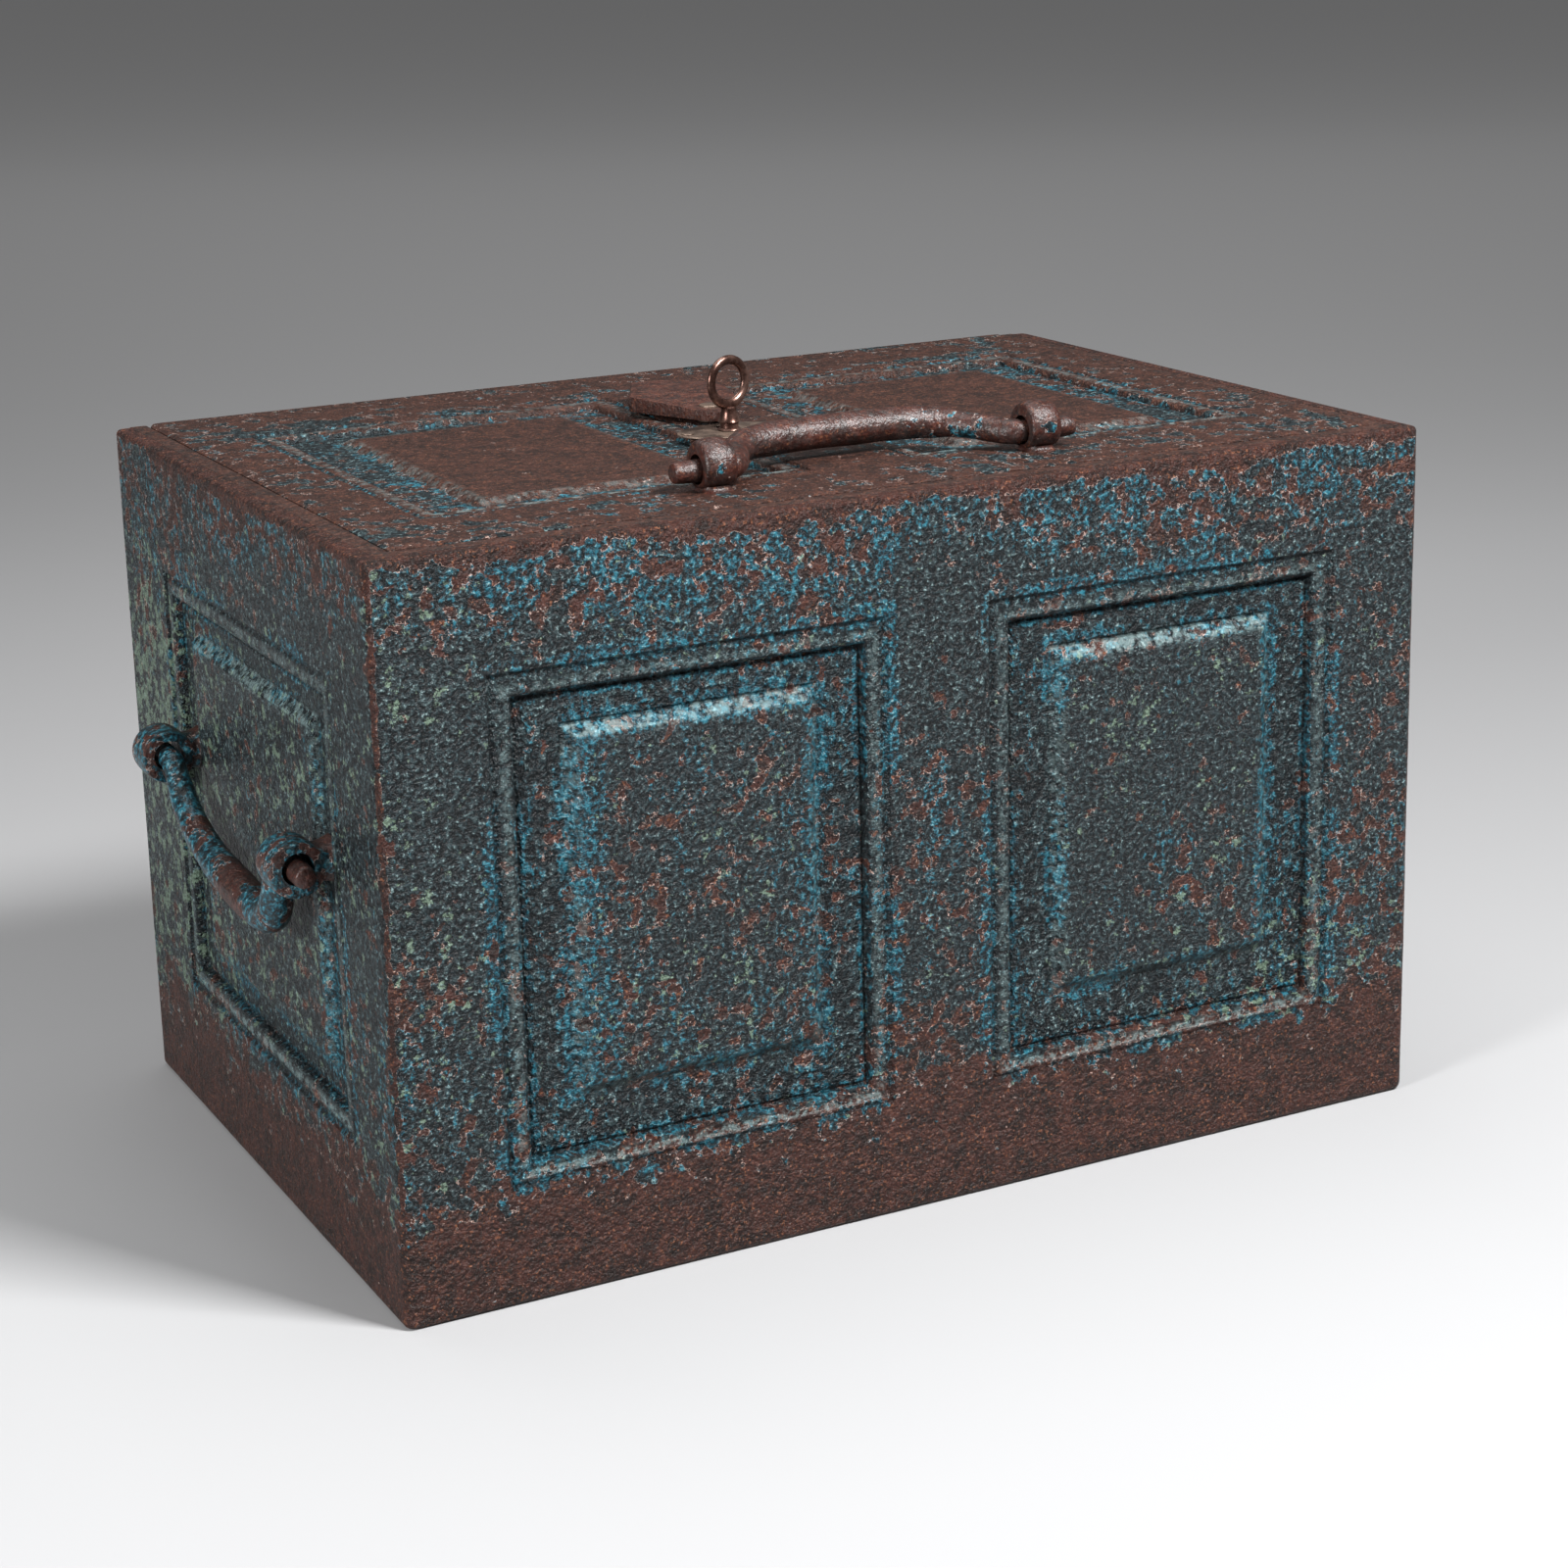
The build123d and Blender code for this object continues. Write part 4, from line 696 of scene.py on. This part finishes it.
class Shader:
    """One material's nodes, with a short call for each kind that the looks need."""

    def __init__(self, name):
        self.material = bpy.data.materials.new(name)
        self.material.use_nodes = True
        self.nodes, self.links = self.material.node_tree.nodes, self.material.node_tree.links
        self.surface = self.nodes["Principled BSDF"]
        place = self.nodes.new("ShaderNodeTexCoord")
        scale = self.nodes.new("ShaderNodeVectorMath")
        scale.operation = "SCALE"
        scale.inputs["Scale"].default_value = 1 / MM
        self.links.new(place.outputs["Object"], scale.inputs[0])
        self.place = scale.outputs["Vector"]

    def put(self, value, socket):
        """Feed a socket with a number, a colour or another node's output."""
        if isinstance(value, bpy.types.NodeSocket):
            self.links.new(value, socket)
        else:
            socket.default_value = value

    def noise(self, size, detail=2, rough=0.5, stretch=(1, 1, 1), shift=0.0):
        """Noise with features about size millimetres wide; shift moves it away from the other noises."""
        shifted = self.nodes.new("ShaderNodeMapping")
        shifted.inputs["Scale"].default_value = stretch
        shifted.inputs["Location"].default_value = (shift, 2.3 * shift, -1.7 * shift)
        self.links.new(self.place, shifted.inputs["Vector"])
        node = self.nodes.new("ShaderNodeTexNoise")
        self.links.new(shifted.outputs["Vector"], node.inputs["Vector"])
        node.inputs["Scale"].default_value = 1 / size
        node.inputs["Detail"].default_value = detail
        node.inputs["Roughness"].default_value = rough
        return node.outputs["Fac"]

    def math(self, operation, first, second=0.0, third=0.0):
        node = self.nodes.new("ShaderNodeMath")
        node.operation = operation
        for value, socket in zip((first, second, third), node.inputs):
            self.put(value, socket)
        return node.outputs[0]

    def add(self, *terms):
        total = terms[0]
        for term in terms[1:]:
            total = self.math("ADD", total, term)
        return total

    def times(self, first, second):
        return self.math("MULTIPLY", first, second)

    def step(self, value, low, high):
        """0 below low and 1 above high, whether they are numbers or sockets."""
        node = self.nodes.new("ShaderNodeMapRange")
        node.interpolation_type = "SMOOTHSTEP"
        for given, socket in zip((value, low, high), node.inputs):
            self.put(given, socket)
        return node.outputs[0]

    def mix(self, share, first, second):
        node = self.nodes.new("ShaderNodeMix")
        node.data_type = "RGBA"
        self.put(share, node.inputs["Factor"])
        for given, socket in zip((first, second), (s for s in node.inputs if s.type == "RGBA")):
            self.put(given, socket)
        return next(s for s in node.outputs if s.type == "RGBA")

    def mask(self, name):
        node = self.nodes.new("ShaderNodeAttribute")
        node.attribute_name = name
        return node.outputs["Fac"]

    def relief(self, height):
        """Surface height in millimetres, as a bump."""
        node = self.nodes.new("ShaderNodeBump")
        node.inputs["Strength"].default_value = 1.0
        node.inputs["Distance"].default_value = MM
        self.put(height, node.inputs["Height"])
        self.links.new(node.outputs["Normal"], self.surface.inputs["Normal"])

    def done(self, tint, roughness, metallic=0.0, specular=0.5):
        self.put(tint, self.surface.inputs["Base Color"])
        self.put(roughness, self.surface.inputs["Roughness"])
        self.put(metallic, self.surface.inputs["Metallic"])
        self.surface.inputs["Specular IOR Level"].default_value = specular
        return self.material


# the near-black is painted shade for the bump's hollows and pits and for the grooves; the pale blue is a
# painted glint on bump peaks and, with rubbed wear, a painted highlight on crests
TEAL, DEEP_TEAL, HOLLOW_SHADE = colour(47, 61, 64), colour(17, 27, 31), colour(3, 5, 7)
BLUE, BRIGHT_BLUE, PALE_BLUE = colour(15, 62, 76), colour(28, 104, 122), colour(150, 176, 176)
PALE_GREEN = colour(104, 124, 106)
CHIP_RIM = colour(186, 156, 144)
IRON = (colour(26, 14, 11), colour(57, 30, 24), colour(82, 48, 38))      # its dark, middle and light
IRON_SPECK = colour(140, 88, 60)


def aged_paint(name, iron=IRON, gloss=(0.28, 0.40), grain=1.0, speck=0.5, shine=0.26):
    """Teal paint rubbed through to brown iron, with painted shade and painted light following its bumps; the
    bare, blue and green masks, the mask of rubbed wear with painted highlight and the mask of painted groove
    shade steer it.
    """
    s = Shader(name)
    fine, broad, speckle = s.noise(8, 4, 0.56), s.noise(34, 3, 0.55, shift=57), s.noise(2.2, 2, 0.5, shift=31)
    peel, grit = s.noise(2.5, 3, 0.6, shift=83), s.noise(1.3, 2, 0.6, shift=89)

    # where the paint is still on
    loss = s.add(s.times(fine, 0.62), s.times(broad, 0.22), s.times(speckle, 0.16))
    bare, blue, green = s.mask("bare"), s.mask("blue"), s.mask("green")
    limit = s.math("MULTIPLY_ADD", bare, 0.34, 0.374)
    is_paint = s.step(loss, s.add(limit, -0.005), s.add(limit, 0.005))

    # where it is blue, and where pale green
    patches = s.add(s.times(s.noise(3.5, 5, 0.7, (1, 1, 0.4), 11), 0.42),
                    s.times(s.noise(17, 3, 0.6, (1, 1, 0.2), 19), 0.32), s.times(peel, 0.26))
    near_chip = s.step(loss, s.add(limit, 0.04), limit)
    blue_limit = s.add(s.math("MULTIPLY_ADD", blue, -0.19, 0.622), s.times(near_chip, -0.06))
    is_blue = s.step(patches, s.add(blue_limit, -0.035), s.add(blue_limit, 0.035))
    flecks = s.noise(6, 5, 0.68, (1, 1, 1), 43)
    green_limit = s.math("MULTIPLY_ADD", green, -0.24, 0.70)
    is_green = s.step(flecks, s.add(green_limit, -0.008), s.add(green_limit, 0.012))

    # painted shade in the hollows of the paint's bumpy skin and painted light and glints on its rises, and
    # the pale rims of its chips
    high, low = s.step(peel, 0.50, 0.60), s.step(peel, 0.51, 0.41)
    pit_shade, tip = s.step(grit, 0.47, 0.36), s.step(grit, 0.56, 0.68)
    under = s.mix(s.times(high, 0.75), s.mix(s.times(low, 0.8), s.mix(tip, DEEP_TEAL, TEAL), HOLLOW_SHADE), TEAL)
    tint_blue = s.mix(high, s.mix(low, BLUE, DEEP_TEAL), BRIGHT_BLUE)
    paint = s.mix(s.times(is_blue, 0.8), under, tint_blue)
    paint = s.mix(s.times(is_green, 0.75), paint, PALE_GREEN)
    paint = s.mix(s.times(s.times(tip, high), 0.5), paint, PALE_BLUE)
    paint = s.mix(s.times(pit_shade, 0.7), paint, HOLLOW_SHADE)
    rim = s.times(s.step(loss, s.add(limit, 0.015), s.add(limit, 0.004)), s.step(speckle, 0.46, 0.56))
    paint = s.mix(s.times(rim, 0.75), paint, CHIP_RIM)

    # the iron with painted shade in its pits, then the two together, pale on crests as rubbed wear plus
    # painted highlight, and painted shade in the grooves
    rust = s.mix(s.step(s.noise(11, 5, 0.65, shift=97), 0.38, 0.62), iron[0], iron[1])
    rust = s.mix(s.times(s.step(s.noise(3.0, 4, 0.68, shift=103), 0.50, 0.64), 0.6), rust, iron[2])
    rust = s.mix(s.times(pit_shade, 0.75), rust, iron[0])
    rust = s.mix(s.times(s.step(s.noise(1.6, 2, 0.5, shift=109), 0.60, 0.70), speck), rust, IRON_SPECK)
    tint = s.mix(is_paint, rust, paint)
    crest = s.mask("worn")
    worn = s.times(crest, s.step(s.noise(4, 4, 0.65, shift=127), 0.42, 0.60))
    tint = s.mix(s.times(worn, 0.30), tint, PALE_BLUE)
    tint = s.mix(s.times(s.mask("grime"), 0.62), tint, HOLLOW_SHADE)

    # gloss and relief
    rough = s.add(gloss[0], s.times(s.noise(4, 3, 0.6, shift=131), gloss[1] - gloss[0]),
                  s.times(s.math("SUBTRACT", 1.0, is_paint), 0.08), s.times(crest, -0.14))
    height = s.add(s.times(is_paint, 0.25), s.times(peel, 3.4 * grain), s.times(grit, 1.2 * grain),
                   s.times(fine, 1.6 * grain))
    s.relief(s.times(height, s.math("MULTIPLY_ADD", crest, -0.5, 1.0)))
    return s.done(tint, rough, specular=shine)


def bare_steel(name, low, high, gloss, metallic, grain):
    """Tarnished steel, darker in its hollows."""
    s = Shader(name)
    broad, fine = s.noise(12, 4, 0.6, shift=7), s.noise(1.6, 4, 0.6, shift=23)
    tint = s.mix(s.step(broad, 0.36, 0.64), low, high)
    tint = s.mix(s.times(s.step(fine, 0.5, 0.7), 0.5), tint, IRON[0])
    s.relief(s.times(fine, grain))
    return s.done(tint, s.add(gloss, s.times(broad, 0.16)), metallic)


PAINT = aged_paint("case_paint")
LID_IRON = aged_paint("lid_iron", (colour(32, 18, 14), colour(54, 31, 24), colour(82, 50, 39)),
                      gloss=(0.36, 0.48), grain=0.55, speck=0.3)
FORGED = aged_paint("forged_iron", (colour(32, 14, 10), colour(54, 25, 19), colour(80, 42, 32)),
                    grain=0.2, speck=0.25, shine=0.42)
COVER_IRON = aged_paint("cover_iron", (colour(38, 19, 15), colour(66, 35, 27), colour(92, 54, 42)),
                        gloss=(0.34, 0.46), grain=0.25, speck=0.25, shine=0.3)
HINGE_IRON = aged_paint("hinge_iron", gloss=(0.40, 0.52), grain=0.6)
INSIDE_IRON = aged_paint("inside_iron", (colour(34, 24, 21), colour(54, 37, 31), colour(80, 54, 44)),
                         gloss=(0.5, 0.65))
KEY_STEEL = bare_steel("key_steel", colour(76, 52, 45), colour(138, 108, 97),
                       gloss=0.22, metallic=0.85, grain=0.06)
PLATE_STEEL = bare_steel("escutcheon_iron", colour(70, 58, 50), colour(122, 104, 92),
                         gloss=0.34, metallic=0.6, grain=0.15)
LOCK_STEEL = bare_steel("lock_steel", colour(92, 82, 74), colour(140, 130, 120),
                        gloss=0.36, metallic=0.7, grain=0.1)


# ---- stage, lights and camera -------------------------------------------------------------------------
VIEW_X, VIEW_Y = 0.446, 0.860                 # the camera's heading over the floor
# the floor's colour is graded along the view as painted light: grey near the box where the lamps light it
# strongly, near white far off where their light falls away
NEAR_SPAN, FAR_SPAN = (-460.0, 700.0), (1200.0, 4500.0)
FLOOR_NEAR, FLOOR_MIDDLE, FLOOR_FAR = colour(158, 158, 159), colour(150, 150, 151), colour(236, 236, 237)
FLOOR_X, FLOOR_Y = np.linspace(-9000, 9000, 13), np.linspace(-3000, 15000, 13)
LAMPS = [        # name, place and target in metres, width in metres and power in watts
    ("key_light", (0.62, -1.2, 1.75), (-0.05, -0.1, 0.15), 0.5, 98),
    ("fill_light", (-1.9, -0.7, 0.9), (0, 0, 0.15), 0.4, 46),
    ("top_light", (-0.1, 0.5, 2.3), (0, 0, 0.2), 1.4, 22)]
SKY_STRENGTH = 0.14
# the camera was solved from the box's seven visible corners
CAMERA_AT, LENS, SENSOR, SHIFT = (-0.6392, -1.2777, 0.5798), 72.71, 36, (-0.0125, -0.0875)
CAMERA_RIGHT, CAMERA_DOWN = Vector((0.88471, -0.46561, -0.02220)), Vector((-0.13488, -0.21011, -0.96833))


def build_stage():
    s = Shader("floor_paper")
    split = s.nodes.new("ShaderNodeSeparateXYZ")
    s.links.new(s.place, split.inputs[0])
    # painted light: grey near the box, near white far off
    away = s.add(s.times(split.outputs["X"], VIEW_X), s.times(split.outputs["Y"], VIEW_Y))
    near = s.mix(s.step(away, *NEAR_SPAN), FLOOR_NEAR, FLOOR_MIDDLE)
    s.done(s.mix(s.step(away, *FAR_SPAN), near, FLOOR_FAR), 0.9, specular=0.2)
    bm = bmesh.new()
    grid = [[bm.verts.new((x, y, 0)) for y in FLOOR_Y] for x in FLOOR_X]
    for near_row, far_row in zip(grid, grid[1:]):
        for j in range(len(FLOOR_Y) - 1):
            bm.faces.new((near_row[j], far_row[j], far_row[j + 1], near_row[j + 1]))
    floor = finish_mesh(bm, "floor")
    floor.data.materials.append(s.material)


def lamp(name, place, target, size, power):
    data = bpy.data.lights.new(name, "AREA")
    data.size, data.energy = size, power
    made = bpy.data.objects.new(name, data)
    made.location = place
    made.rotation_euler = (Vector(target) - Vector(place)).to_track_quat("-Z", "Y").to_euler()
    bpy.context.scene.collection.objects.link(made)


def build_lights():
    for row in LAMPS:
        lamp(*row)
    world = bpy.data.worlds.new("studio")
    world.use_nodes = True
    sky = world.node_tree.nodes["Background"]
    sky.inputs["Color"].default_value = (1, 1, 1, 1)
    sky.inputs["Strength"].default_value = SKY_STRENGTH
    bpy.context.scene.world = world


def build_camera():
    data = bpy.data.cameras.new("camera")
    data.lens, data.sensor_width = LENS, SENSOR
    data.shift_x, data.shift_y = SHIFT
    made = bpy.data.objects.new("camera", data)
    turn = Matrix((CAMERA_RIGHT, -CAMERA_DOWN, CAMERA_RIGHT.cross(-CAMERA_DOWN))).transposed()
    made.matrix_world = Matrix.Translation(CAMERA_AT) @ turn.to_4x4()
    bpy.context.scene.collection.objects.link(made)
    bpy.context.scene.camera = made
    bpy.context.scene.view_settings.view_transform = "Standard"


build_walls()
build_lid()
build_bails()
build_eyes()
build_key()
build_soft_parts()
build_stage()
build_lights()
build_camera()
